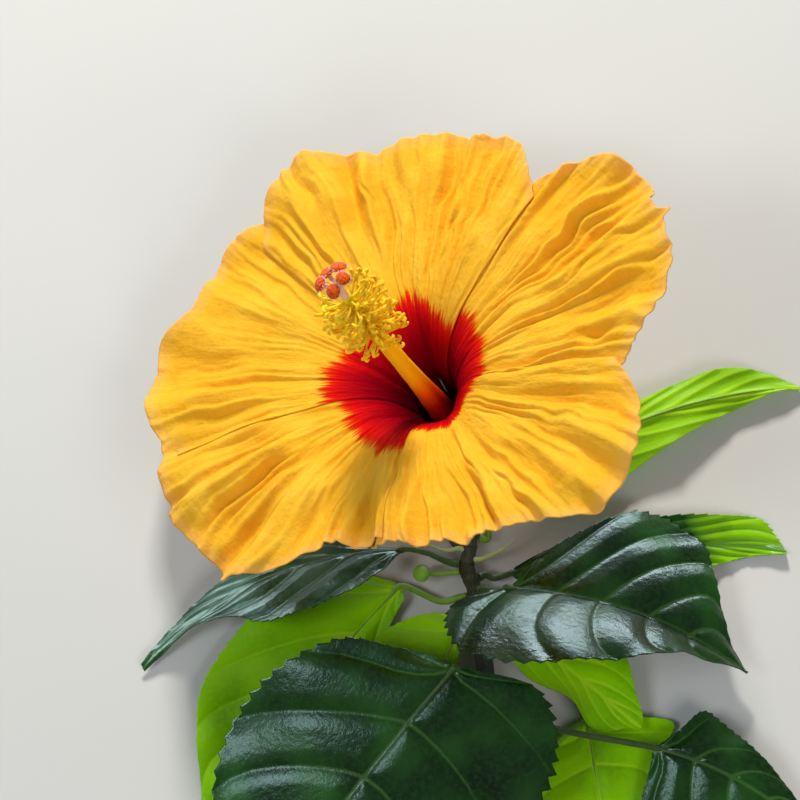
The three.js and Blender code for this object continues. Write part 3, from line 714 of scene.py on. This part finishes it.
epicalyx = {"collarRadius": 3.3, "collarThickness": 0.7, "height": -8.2, "count": 7,
            "reach": [(3.3, -8.2), (6.4, -5.6), (9.2, 0.5), (11, 7.5)], "radii": [0.75, 0.8, 0.65, 0.18]}


def makeEpicalyx():
    bm = bmesh.new()
    ring = bmesh.ops.create_circle(bm, segments=10, radius=epicalyx["collarThickness"] / 1000)["verts"]
    bmesh.ops.rotate(bm, verts=ring, cent=(0, 0, 0), matrix=Matrix.Rotation(math.pi / 2, 3, "X"))
    bmesh.ops.translate(bm, verts=ring, vec=(epicalyx["collarRadius"] / 1000, 0, 0))
    bmesh.ops.spin(bm, geom=bm.verts[:] + bm.edges[:], cent=(0, 0, 0), axis=(0, 0, 1), angle=2 * math.pi,
                   steps=40, use_merge=True)
    bmesh.ops.remove_doubles(bm, verts=bm.verts[:], dist=joinGap)
    bmesh.ops.recalc_face_normals(bm, faces=bm.faces[:])
    basis = Matrix((bloomAcross, bloomUp, facing)).transposed().to_4x4()
    bmesh.ops.transform(bm, matrix=placed(inBloom(0, 0, epicalyx["height"])) @ basis, verts=bm.verts[:])
    for i in range(epicalyx["count"]):
        azimuth = 2 * math.pi * i / epicalyx["count"]
        addLimb(bm, [inBloom(radius, azimuth, height) for radius, height in epicalyx["reach"]],
                epicalyx["radii"], 10, 20)
    finishPiece(bm, "bractRing", [calyxGreen], "epicalyx")


makeCalyx()
makeEpicalyx()

# joints are where the leaves leave the stem, in shares of its line
stem = {
    "line": [(22.5, -118.6, 10.7), (21.2, -98, 6.1), (20.6, -81, 2.6), (20.4, -64, -2.2), (18.4, -52, -5.6),
             (18.2, -46.5, -7.2), (16.2, -40.4, -9), (17.2, -36, -10.2), (18, -31.5, -11.2)],
    "radii": [2.5, 2.35, 2.3, 2.2, 2.0, 1.9, 1.95, 1.6, 1.3], "sides": 36, "rings": 260,
    "joints": [0.17, 0.3, 0.33, 0.46, 0.5, 0.6, 0.62, 0.68, 0.76, 0.88, 0.95], "clearance": 0.3,
    "barkWall": 0.35,
}
flowerStalk = {"bends": [(18.9, -24, -12.6), (18.1, -15, -10.6)], "radii": [1.3, 1.2, 1.35, 1.9, 2.2],
               "swelling": (0.18, 0.42, 0.03)}


def makeFlowerStalk():
    bm = bmesh.new()
    end, heading = onLine(stem["line"], np.array([1.0]))
    start = end[0] + heading[0] * stem["clearance"]
    top = calyx["base"][0][1] - stem["clearance"]
    line = [start, *flowerStalk["bends"], inBloom(0, 0, top - 3), inBloom(0, 0, top)]
    rise, middle, width = flowerStalk["swelling"]
    swelling = lambda t: rise * np.exp(-((t - middle) / width) ** 2)
    skin = lambda t, around: 0.05 * turnNoise(around, 24, t * 60, 31) + swelling(t)
    addLimb(bm, line, flowerStalk["radii"], 24, 70, skin)
    finishPiece(bm, "flowerStalk", [calyxGreen], "flower_stalk")


makeFlowerStalk()


# Stem

def makeBark():
    material, tree, shader = newMaterial("barkGreenBrown")
    place = readMap(tree, "stemMap")[0]
    fibre = addStreaks(tree, place, 9, 40, 4)
    cork = addStreaks(tree, place, 14, 260, 3)
    color = addRamp(tree, fibre, [(0.3, (0.014, 0.014, 0.006)), (0.5, (0.04, 0.038, 0.014)),
                                  (0.68, (0.09, 0.09, 0.035))])
    spots = addMask(tree, cork, 0.62, 0.7)
    color = mixColor(tree, spots, color, (0.17, 0.14, 0.08))
    height = addMath(tree, "MULTIPLY_ADD", spots, 0.6, fibre)
    finishSkin(tree, shader, color, (height, 0.6, 0.0008), {"Roughness": 0.6})
    return material


def makeCutWood():
    material, tree, shader = newMaterial("cutWood")
    color = addRamp(tree, addNoise(tree, 1400, 3), [(0.35, (0.5, 0.48, 0.26)), (0.65, (0.72, 0.69, 0.45))])
    finishSkin(tree, shader, color, None, {"Roughness": 0.7})
    return material


def makeStem():
    bm = bmesh.new()

    def relief(t, around):
        swelling = sum(np.exp(-((t - joint) / 0.012) ** 2) for joint in stem["joints"])
        scars = sum(0.3 * np.exp(-((t - joint - 0.012) / 0.003) ** 2) for joint in stem["joints"])
        rough = 0.07 * turnNoise(around, 24, t * 60, 41)
        return 0.12 * np.minimum(swelling, 1) - 0.1 * scars + rough - 0.05

    mapping = lambda t, around: np.stack([around, t, t * 0], axis=1)
    caps = addLimb(bm, stem["line"], stem["radii"], stem["sides"], stem["rings"], relief,
                   ("stemMap", mapping))[1]
    for face in caps:
        bmesh.ops.inset_region(bm, faces=[face], thickness=stem["barkWall"] / 1000, depth=0)
        face.material_index = 1
    finishPiece(bm, "leafyStem", [makeBark(), makeCutWood()], "stem")


makeStem()
print("stem and calyx made")


# Leaves

leafShape = {
    "columns": 130, "rows": 150, "thickness": 0.32, "teeth": 30, "toothDepth": 0.045, "bulge": 0.5,
    "veinDepth": 0.38, "veinWidth": 0.8, "midribRadii": [0.6, 0.5, 0.4, 0.3, 0.12], "midribSink": 0.25,
    "stalkRadii": [1.05, 0.9, 0.8, 0.75, 0.5], "stalkSink": 0.35,
}
plainRim = [(0, 0.03), (0.04, 0.16), (0.14, 0.26), (0.3, 0.29), (0.5, 0.25), (0.72, 0.15), (0.88, 0.06),
            (1, 0.008)]
# What a leaf has where it says nothing else
plainLeaf = {"face": (0, 0.26, 0.97), "sag": 0, "curve": 0}
# left and right are the outlines of the two halves of a blade, in shares of its length
leaves = {
    "rightLeaf": {
        "node": "leaf_right", "joint": 0.62, "bend": (24.5, -46, 1.5), "base": (25.7, -44.4, 6),
        "tip": (83.2, -65.5, 0), "face": (0.1, 0.7, 0.7), "arch": 0.12, "fold": 0.3, "sag": 0.1,
        "tone": "dark",
        "left": [(0.03, 0.03), (0.08, 0.14), (0.2, 0.28), (0.38, 0.43), (0.56, 0.475), (0.71, 0.41),
                 (0.78, 0.27), (0.88, 0.1), (1, 0.008)],
        "right": [(-0.04, 0.01), (-0.17, 0.1), (-0.2, 0.24), (-0.12, 0.38), (0.1, 0.415), (0.3, 0.36),
                  (0.52, 0.25), (0.74, 0.11), (1, 0.008)]},
    "frontLeaf": {
        "node": "leaf_front", "joint": 0.33, "bend": (18, -67.5, 10), "base": (12.8, -62.2, 18.6),
        "tip": (-42, -136, 14.05), "face": (0, 0.15, 0.97), "arch": 0.06, "fold": -0.02, "sag": 0.06,
        "curve": -0.02, "tone": "dark",
        "left": [(-0.02, 0.03), (-0.08, 0.2), (0, 0.32), (0.15, 0.375), (0.36, 0.35), (0.6, 0.26),
                 (0.82, 0.12), (1, 0.008)],
        "right": [(0, 0.03), (0.05, 0.15), (0.12, 0.28), (0.28, 0.36), (0.46, 0.365), (0.64, 0.29),
                  (0.85, 0.12), (1, 0.008)]},
    "leftLeaf": {
        "node": "leaf_left", "joint": 0.76, "bend": (6.5, -37, -6.5), "base": (1.2, -36, -5),
        "tip": (-62.2, -64.9, -4.9), "face": (0, 0.72, 0.69), "arch": 0.1, "fold": 0.08, "sag": 0.05,
        "curve": -0.065, "tone": "pale",
        "left": [(0.02, 0.02), (0.1, 0.07), (0.22, 0.125), (0.38, 0.155), (0.52, 0.125), (0.64, 0.03),
                 (0.78, -0.01), (0.9, -0.01), (1, 0.008)],
        "right": [(0.02, 0.02), (0.12, 0.06), (0.25, 0.115), (0.4, 0.135), (0.58, 0.125), (0.75, 0.11),
                  (0.88, 0.07), (1, 0.008)]},
    "leftRearLeaf": {
        "node": "leaf_left_rear", "joint": 0.6, "bend": (10, -49, -8.4), "base": (0, -45.3, -8.6),
        "tip": (-49.8, -114.7, 8.8), "arch": 0.02, "fold": 0.02, "curve": -0.04, "tone": "paintedBacklight",
        "left": [(0.02, 0.03), (0.1, 0.04), (0.2, 0.06), (0.35, 0.13), (0.55, 0.17), (0.78, 0.1),
                 (1, 0.008)],
        "right": [(0, 0.03), (0.06, 0.16), (0.19, 0.265), (0.36, 0.295), (0.53, 0.29), (0.66, 0.22),
                  (0.82, 0.09), (1, 0.008)]},
    "lowLeaf": {
        "node": "leaf_low", "joint": 0.46, "bend": (15, -55.3, -1.6), "base": (14.5, -53.5, -1.8),
        "tip": (-9, -112, 10.5), "arch": 0.05, "fold": -0.06, "tone": "paintedBacklight",
        "left": [(0.02, 0.02), (0.12, 0.04), (0.3, 0.08), (0.5, 0.12), (0.7, 0.11), (0.88, 0.06),
                 (1, 0.008)],
        "right": [(-0.02, 0.03), (0, 0.1), (0.06, 0.19), (0.17, 0.27), (0.36, 0.29), (0.6, 0.22),
                  (0.82, 0.1), (1, 0.008)]},
    "upperRightLeaf": {
        "node": "leaf_upper_right", "joint": 0.95, "bend": (22, -28, -12.5), "base": (26, -24, -13),
        "tip": (99.7, 3, -23.2), "face": (0, -0.26, -0.97), "arch": -0.04, "fold": 0.05, "curve": -0.07,
        "tone": "paintedBacklight",
        "left": [(0.02, 0.02), (0.1, 0.085), (0.2, 0.11), (0.34, 0.08), (0.48, 0.045), (0.64, 0.012),
                 (0.8, -0.005), (0.92, -0.01), (1, 0.008)],
        "right": [(0.02, 0.02), (0.12, 0.075), (0.28, 0.115), (0.46, 0.13), (0.62, 0.145), (0.78, 0.14),
                  (0.9, 0.09), (1, 0.008)]},
    "rearRightLeaf": {
        "node": "leaf_rear_right", "joint": 0.68, "bend": (22.5, -43.4, -9), "base": (27, -42.2, -9.6),
        "tip": (94.6, -37.3, -12.3), "arch": 0.02, "fold": 0.03, "curve": 0.06, "tone": "turning",
        "left": [(0.02, 0.02), (0.15, 0.08), (0.35, 0.13), (0.58, 0.165), (0.78, 0.15), (0.92, 0.13),
                 (0.98, 0.05), (1, 0.008)],
        "right": [(0.02, 0.02), (0.15, 0.1), (0.35, 0.12), (0.55, 0.08), (0.74, 0.03), (0.87, 0.005),
                  (1, 0.008)]},
    "lowerRightLeaf": {
        "node": "leaf_lower_right", "joint": 0.3, "bend": (34, -77.3, 6.5), "base": (60.2, -82.6, 5.5),
        "tip": (105, -112, 8), "arch": 0.08, "fold": -0.12, "curve": 0.08, "tone": "dark",
        "left": [(0.02, 0.03), (0.06, 0.14), (0.11, 0.265), (0.26, 0.25), (0.42, 0.225), (0.6, 0.17),
                 (0.82, 0.07), (1, 0.008)],
        "right": [(0.02, 0.03), (0.05, 0.12), (0.1, 0.25), (0.26, 0.31), (0.45, 0.27), (0.64, 0.18),
                  (0.84, 0.07), (1, 0.008)]},
    "rearCentreLeaf": {
        "node": "leaf_rear_centre", "joint": 0.5, "bend": (24, -55.5, -4.2), "base": (27, -54, -4.2),
        "tip": (57.5, -78.5, 2.6), "arch": 0.04, "fold": 0.02, "tone": "paintedBacklight",
        "left": [(0.02, 0.03), (0.12, 0.2), (0.3, 0.32), (0.5, 0.34), (0.68, 0.27), (0.84, 0.15),
                 (0.95, 0.08), (1, 0.02)],
        "right": [(0.02, 0.03), (0.12, 0.16), (0.3, 0.2), (0.48, 0.15), (0.6, 0.14), (0.74, 0.19),
                  (0.85, 0.15), (0.94, 0.05), (1, 0.008)]},
    "rearLowLeaf": {
        "node": "leaf_rear_low", "joint": 0.17, "bend": (30, -88, 3), "base": (45, -77.5, -1.6),
        "tip": (52.9, -131.6, 12.8), "arch": 0.01, "fold": 0.01, "tone": "paintedBacklight",
        "left": [(-0.02, 0.03), (0, 0.16), (0.05, 0.36), (0.15, 0.31), (0.3, 0.22), (0.5, 0.2),
                 (0.78, 0.12), (1, 0.008)],
        "right": [(-0.02, 0.03), (0.02, 0.12), (0.08, 0.2), (0.25, 0.28), (0.5, 0.27), (0.78, 0.14),
                  (1, 0.008)]},
    "behindLeaf": {
        "node": "leaf_behind", "joint": 0.88, "bend": (11, -29, -13), "base": (6, -22, -15),
        "tip": (-28, 44, -34.4), "arch": 0.06, "fold": -0.05, "tone": "dark",
        "left": plainRim, "right": plainRim},
}
# Side veins of half a blade: where each leaves the midrib and where it meets the outline
veins = [(0.0, 0.12), (0.0, 0.36), (0.24, 0.56), (0.42, 0.7), (0.6, 0.82), (0.76, 0.92)]


def leafFrame(leaf):
    base, tip = np.array(leaf["base"], float), np.array(leaf["tip"], float)
    length = np.linalg.norm(tip - base)
    forward = (tip - base) / length
    up = np.array(leaf["face"], float)
    up -= forward * (up @ forward)
    up /= np.linalg.norm(up)
    return base, forward, up, np.cross(up, forward), length


def bladeFlat(leaf, u, share, hand):
    rim = np.array(leaf["right"] if hand < 0 else leaf["left"])
    midX = u ** 1.2
    midY = leaf["curve"] * 4 * midX * (1 - midX)
    x = midX + (along(rim[:, 0], u) - midX) * share
    y = midY + (hand * along(rim[:, 1], u) - midY) * share
    return x, y, y - midY


def bladePlace(leaf, u, v):
    side = np.abs(v)
    places = []
    for hand in (1, -1):
        tooth = (u * leafShape["teeth"] + 0.15 * hand) % 1
        size = leafShape["toothDepth"] * (1 + 0.5 * softNoise(u * 17, side * 0 + 0.5, 52 + hand))
        size = size * leafTones[leaf["tone"]]["teeth"]
        share = side * (1 + size * (tooth ** 1.4 - 0.45) * smoothStep(u, 0.04, 0.2) * side ** 12)
        places.append(bladeFlat(leaf, u, share, hand))
    return [np.where(v < 0, b, a) for a, b in zip(*places)]


# Distance in millimetres to the nearest side vein of either half
def veinDistance(leaf, x, y, length):
    nearest = np.full_like(x, 99.0)
    t = np.linspace(0, 1, 8)
    for hand in (1, -1):
        for start, end in veins:
            px, py = bladeFlat(leaf, start + (end - start) * t ** 1.15, t, hand)[:2]
            for i in range(7):
                runX, runY = px[i + 1] - px[i], py[i + 1] - py[i]
                run = np.clip(((x - px[i]) * runX + (y - py[i]) * runY) / (runX ** 2 + runY ** 2), 0, 1)
                gap = np.hypot(x - px[i] - run * runX, y - py[i] - run * runY) * length
                nearest = np.minimum(nearest, gap + 0.25 * t[i])
    return nearest


def bladeSurface(leaf, u, v):
    base, forward, up, left, length = leafFrame(leaf)
    x, y, out = bladePlace(leaf, u, v)
    height = (leaf["arch"] * 4 * x * (1 - x) + leaf["fold"] * np.abs(out) - leaf["sag"] * out * out * 4
              + 0.012 * np.sin(16 * x + 2 * np.sign(v)) * smoothStep(np.abs(v), 0.3, 1))
    gap = veinDistance(leaf, x, y, length)
    middle = np.abs(out) * length
    width = leafShape["veinWidth"]
    groove = np.exp(-(gap / width) ** 2) + 1.2 * np.exp(-(middle / width) ** 2)
    bulge = smoothStep(np.minimum(gap, middle + 0.4), 0.2, 4.6)
    relief = leafShape["bulge"] * (bulge - 0.4) - leafShape["veinDepth"] * np.minimum(groove, 1.2)
    relief = relief + 0.05 * softNoise(x * length / 3.6, y * length / 3.6 + 40, 51) * bulge
    relief = relief * smoothStep(1 - u, 0, 0.12) * min(1, length / 60)
    return (base + np.outer(x * length, forward) + np.outer(y * length, left)
            + np.outer(height * length + relief, up))


# x, y: place on the blade in tenths of a metre; z: distance to the nearest vein in millimetres
def bladeMap(leaf, u, v):
    length = leafFrame(leaf)[4]
    x, y, out = bladePlace(leaf, u, v)
    gap = veinDistance(leaf, x, y, length)
    nearest = np.minimum(gap + 0.2 * np.abs(v), np.abs(out) * length)
    return np.stack([x * length / 100, y * length / 100, nearest], axis=1)


leafTones = {
    "dark": {
        "deep": (0.002, 0.012, 0.001), "mid": (0.006, 0.038, 0.003), "light": (0.018, 0.095, 0.008),
        "vein": (0.05, 0.14, 0.025), "under": (0.05, 0.12, 0.02), "rough": 0.27, "gloss": 0.4, "teeth": 1},
    # Painted backlight: this tone lights the same leaves up to a glowing yellow-green, as if sun shone
    # through the blade; it is also rougher, less glossy and has smaller teeth
    "paintedBacklight": {
        "deep": (0.17, 0.46, 0.0005), "mid": (0.25, 0.62, 0.001), "light": (0.33, 0.72, 0.002),
        "vein": (0.45, 0.78, 0.02), "under": (0.24, 0.5, 0.01), "rough": 0.45, "gloss": 0.08, "teeth": 0.4},
}
# pale: the dark leaf's colours lightened towards blue-green, a painted sheen standing in for the sky's
# reflection on the glossy blade
leafTones["pale"] = {**leafTones["dark"], "deep": (0.006, 0.03, 0.008), "mid": (0.025, 0.085, 0.04),
                     "light": (0.085, 0.19, 0.12), "slot": "leaf_dark"}
# turn: over which reach of the blade the dark colours give way to a painted lit tip, bright as if backlit,
# and the tip's painted colour
leafTones["turning"] = {**leafTones["dark"], "turn": (0.55, 0.65, (0.24, 0.56, 0.003)), "gloss": 0.2,
                        "slot": "leaf_bright"}


def makeLeafSkin(name, tone, under):
    material, tree, shader = newMaterial(name)
    parts = readMap(tree, "bladeMap")[1]
    flat = addNode(tree, "ShaderNodeCombineXYZ", {"X": parts["X"], "Y": parts["Y"], "Z": 0.0}).outputs[0]
    broad = addStreaks(tree, flat, 7, 7, 1)
    cells = addNode(tree, "ShaderNodeTexVoronoi", {"Vector": flat, "Scale": 70}, feature="DISTANCE_TO_EDGE")
    net = addMask(tree, cells.outputs["Distance"], 0, 0.16)
    grain = addStreaks(tree, flat, 260, 260, 2)
    quilt = addStreaks(tree, flat, 75, 75, 2)
    color = addRamp(tree, broad, [(0.3, tone["deep"]), (0.5, tone["mid"]), (0.75, tone["light"])])
    patches = addMath(tree, "MULTIPLY", addMask(tree, quilt, 0.42, 0.72), 0.4)
    color = mixColor(tree, patches, color, tone["light"])
    if under:
        color = mixColor(tree, 0.75, color, tone["under"])
    # Painted backlight: past the turn's reach the tip is painted in a brighter, lit green
    if "turn" in tone:
        start, end, paintedTipLight = tone["turn"]
        reach = addMath(tree, "MULTIPLY_ADD", broad, 0.2, parts["X"])
        color = mixColor(tree, addMask(tree, reach, start, end), color, paintedTipLight)
    color = mixColor(tree, addMath(tree, "MULTIPLY_ADD", net, -0.02, 0.02), color, tone["vein"])
    vein = addMath(tree, "MULTIPLY", addMask(tree, parts["Z"], 0.75, 0.2, "SMOOTHSTEP"), 0.75)
    color = mixColor(tree, vein, color, tone["vein"])
    height = addMath(tree, "MULTIPLY_ADD", quilt, 0.5, addMath(tree, "MULTIPLY", net, 0.03))
    height = addMath(tree, "MULTIPLY_ADD", grain, 0.06, height)
    rough, gloss, depth = (0.45, 0.15, -0.0006) if under else (tone["rough"], tone["gloss"], 0.0006)
    roughness = addMath(tree, "MULTIPLY_ADD", broad, 0.2, rough - 0.08)
    tree.links.new(roughness, shader.inputs["Roughness"])
    finishSkin(tree, shader, color, (height, 0.35, depth), {
        "Specular IOR Level": gloss, "Subsurface Weight": 0.06,
        "Subsurface Radius": (0.4, 1.0, 0.1), "Subsurface Scale": 0.002})
    return material


leafSkins = {name: [makeLeafSkin(name + "LeafTop", tone, False),
                    makeLeafSkin(name + "LeafUnder", tone, True)] for name, tone in leafTones.items()}
darkStalk = makeGreenSkin("darkStalkSkin", (0.02, 0.04, 0.008), (0.06, 0.11, 0.02), 300)
# Lighter green stalk skin for the leaves with the painted backlight, painted backlight as well
paintedBacklightStalk = makeGreenSkin("paintedBacklightStalkSkin", (0.09, 0.2, 0.008), (0.2, 0.38, 0.015), 300)


# Where a stalk starts beside the stem and which way it leaves it
def footOnStem(joint, towards):
    centre, heading = (row[0] for row in onLine(stem["line"], np.array([joint])))
    out = np.array(towards, float) - centre
    out -= heading * (out @ heading)
    out /= np.linalg.norm(out)
    return centre + out * (along(stem["radii"], np.array([joint]))[0] + stem["clearance"]), out


def makeBlade(name, leaf):
    bm = bmesh.new()
    addSheet(bm, leafShape["columns"], leafShape["rows"], lambda u, v: bladeSurface(leaf, u, v),
             bladeMap=lambda u, v: bladeMap(leaf, u, v))
    bmesh.ops.recalc_face_normals(bm, faces=bm.faces[:])
    bm.faces.ensure_lookup_table()
    middle = bm.faces[len(bm.faces) // 2]
    middle.normal_update()
    if (layMatrix.to_3x3() @ Vector(leafFrame(leaf)[2])).dot(middle.normal) < 0:
        bmesh.ops.reverse_faces(bm, faces=bm.faces[:])
    finishPiece(bm, name, leafSkins[leaf["tone"]], leaf["node"], leafShape["thickness"])


# The leaf's stalk, and the midrib that carries it on under the blade
def makeLeafStalk(name, leaf):
    bm = bmesh.new()
    up = leafFrame(leaf)[2]
    foot, out = footOnStem(leaf["joint"], leaf["bend"])
    inner = bladeSurface(leaf, np.array([0.07]), np.array([0.0]))[0] - up * leafShape["stalkSink"]
    skin = lambda t, around: 0.05 * turnNoise(around, 18, t * 40, 61) + 0.12 * np.exp(-(t / 0.06) ** 2)
    line = [foot, foot + out * 2, leaf["bend"], leaf["base"], inner]
    addLimb(bm, line, leafShape["stalkRadii"], 16, 50, skin)
    t = np.linspace(0.05, 0.93, 14)
    rib = bladeSurface(leaf, t, t * 0) - up * leafShape["midribSink"]
    addLimb(bm, list(rib), leafShape["midribRadii"], 8, 40)
    # Leaves with the painted backlight tone get the painted backlight stalk skin
    stalkSkin = paintedBacklightStalk if leaf["tone"] == "paintedBacklight" else darkStalk
    finishPiece(bm, name + "Stalk", [stalkSkin], leaf["node"])


for name, values in leaves.items():
    leaf = {**plainLeaf, **values}
    makeBlade(name, leaf)
    makeLeafStalk(name, leaf)
print("leaves made")


# Small growths at the leaf joints

growths = {
    "rightStipule": {"node": "stipule_right", "joint": 0.8, "line": [(24, -36.5, -5.5), (27.7, -33.5, -3.5)]},
    "leftStipule": {"node": "stipule_left", "joint": 0.84, "line": [(11.5, -36.4, -6.5), (6, -34.4, -3)]},
}
bud = {"joint": 0.73, "neck": (8.5, -42.2, -7.5), "head": (5.2, -42, -6), "radius": 2.1, "turn": -70}


def makeGrowths():
    for name, growth in growths.items():
        bm = bmesh.new()
        foot, out = footOnStem(growth["joint"], growth["line"][0])
        addLimb(bm, [foot, foot + out, *growth["line"]], [0.65, 0.6, 0.4, 0.15], 10, 26)
        finishPiece(bm, name, [stipuleGreen], growth["node"])
    bm = bmesh.new()
    foot, out = footOnStem(bud["joint"], bud["neck"])
    addLimb(bm, [foot, foot + out, bud["neck"], bud["head"]], [0.75, 0.65, 0.65, 0.65], 12, 20)
    head = bmesh.ops.create_uvsphere(bm, u_segments=30, v_segments=20, radius=bud["radius"] / 1000)["verts"]
    for vert in head:
        around = math.atan2(vert.co.y, vert.co.x)
        vert.co *= 1 + 0.05 * math.cos(5 * around) * (1 - abs(vert.co.z) * 1000 / bud["radius"])
    lying = Matrix.Rotation(math.radians(bud["turn"]), 4, "Y")
    bmesh.ops.transform(bm, matrix=placed(bud["head"]) @ lying, verts=head)
    finishPiece(bm, "roundBud", [budGreen], "bud")


makeGrowths()
print("growths made")


# Floor, lights and camera

studio = {
    "floorSize": 3.0, "floorColor": (0.66, 0.66, 0.64), "skyColor": (0.82, 0.9, 1.0), "skyStrength": 0.2,
    "lights": {
        "key": {"place": (-0.12, 0.81, 0.52), "size": (0.15, 0.15), "power": 9.4,
                "color": (1.0, 0.96, 0.88)},
        "fill": {"place": (-0.55, -0.15, 0.78), "size": (0.3, 0.3), "power": 2.5,
                 "color": (0.9, 0.95, 1.0)},
        "front": {"place": (0.4, -0.5, 0.75), "size": (0.4, 0.4), "power": 2.2,
                  "color": (1.0, 0.97, 0.92)},
        "lowCard": {"place": (0.11, 0.42, 0.045), "size": (0.34, 0.09), "power": 2.0,
                    "color": (0.72, 0.93, 1.0)},
        "sideCard": {"place": (-0.36, 0.4, 0.15), "size": (0.5, 0.26), "power": 5.8,
                     "color": (0.7, 0.95, 1.0)},
        "topCard": {"place": (-0.4, 0.05, 0.82), "size": (0.24, 0.24), "power": 2.4,
                    "color": (0.65, 0.97, 1.0)},
    },
    # the cards show in glossy surfaces only, the soft lights in none
    "cards": ("lowCard", "sideCard", "topCard"), "soft": ("key", "fill", "front"),
    "target": (0.0, 0.02, 0.03),
}
camera = {"distance": 0.6, "lens": 112.5, "sensor": 36}


def makeStudio():
    bm = bmesh.new()
    bmesh.ops.create_grid(bm, x_segments=2, y_segments=2, size=studio["floorSize"] / 2)
    mesh = bpy.data.meshes.new("paleFloor")
    bm.to_mesh(mesh)
    bm.free()
    floor = addObject("paleFloor", mesh)
    material, tree, shader = newMaterial("palePaper")
    pale = studio["floorColor"]
    color = addRamp(tree, addNoise(tree, 6, 3), [(0.3, tuple(c * 0.97 for c in pale)), (0.7, pale)])
    finishSkin(tree, shader, color, None, {"Roughness": 0.9, "Specular IOR Level": 0.05})
    mesh.materials.append(material)
    floor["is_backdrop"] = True
    for name, values in studio["lights"].items():
        light = bpy.data.lights.new(name, "AREA")
        light.shape = "RECTANGLE"
        light.size, light.size_y = values["size"]
        light.energy = values["power"]
        light.color = values["color"]
        lamp = addObject(name, light)
        lamp.location = values["place"]
        lamp.visible_diffuse = name not in studio["cards"]
        lamp.visible_glossy = name not in studio["soft"]
        lamp.visible_camera = False
        aim = Vector(studio["target"]) - lamp.location
        lamp.rotation_euler = aim.to_track_quat("-Z", "Y").to_euler()
    world = bpy.data.worlds.new("softSky")
    world.use_nodes = True
    sky = world.node_tree.nodes["Background"]
    sky.inputs["Color"].default_value = (*studio["skyColor"], 1)
    sky.inputs["Strength"].default_value = studio["skyStrength"]
    bpy.context.scene.world = world


def makeCamera():
    data = bpy.data.cameras.new("lookDown")
    data.lens = camera["lens"]
    data.sensor_width = camera["sensor"]
    data.clip_start = 0.01
    eye = addObject("lookDown", data)
    eye.matrix_world = layMatrix @ Matrix.Translation((0, 0, camera["distance"]))
    bpy.context.scene.camera = eye


makeStudio()
makeCamera()
bpy.context.scene.view_settings.view_transform = "Standard"
print("studio made")

{"cad": [list(corner) for corner in cadBox], "visual": [list(corner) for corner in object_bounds()]}
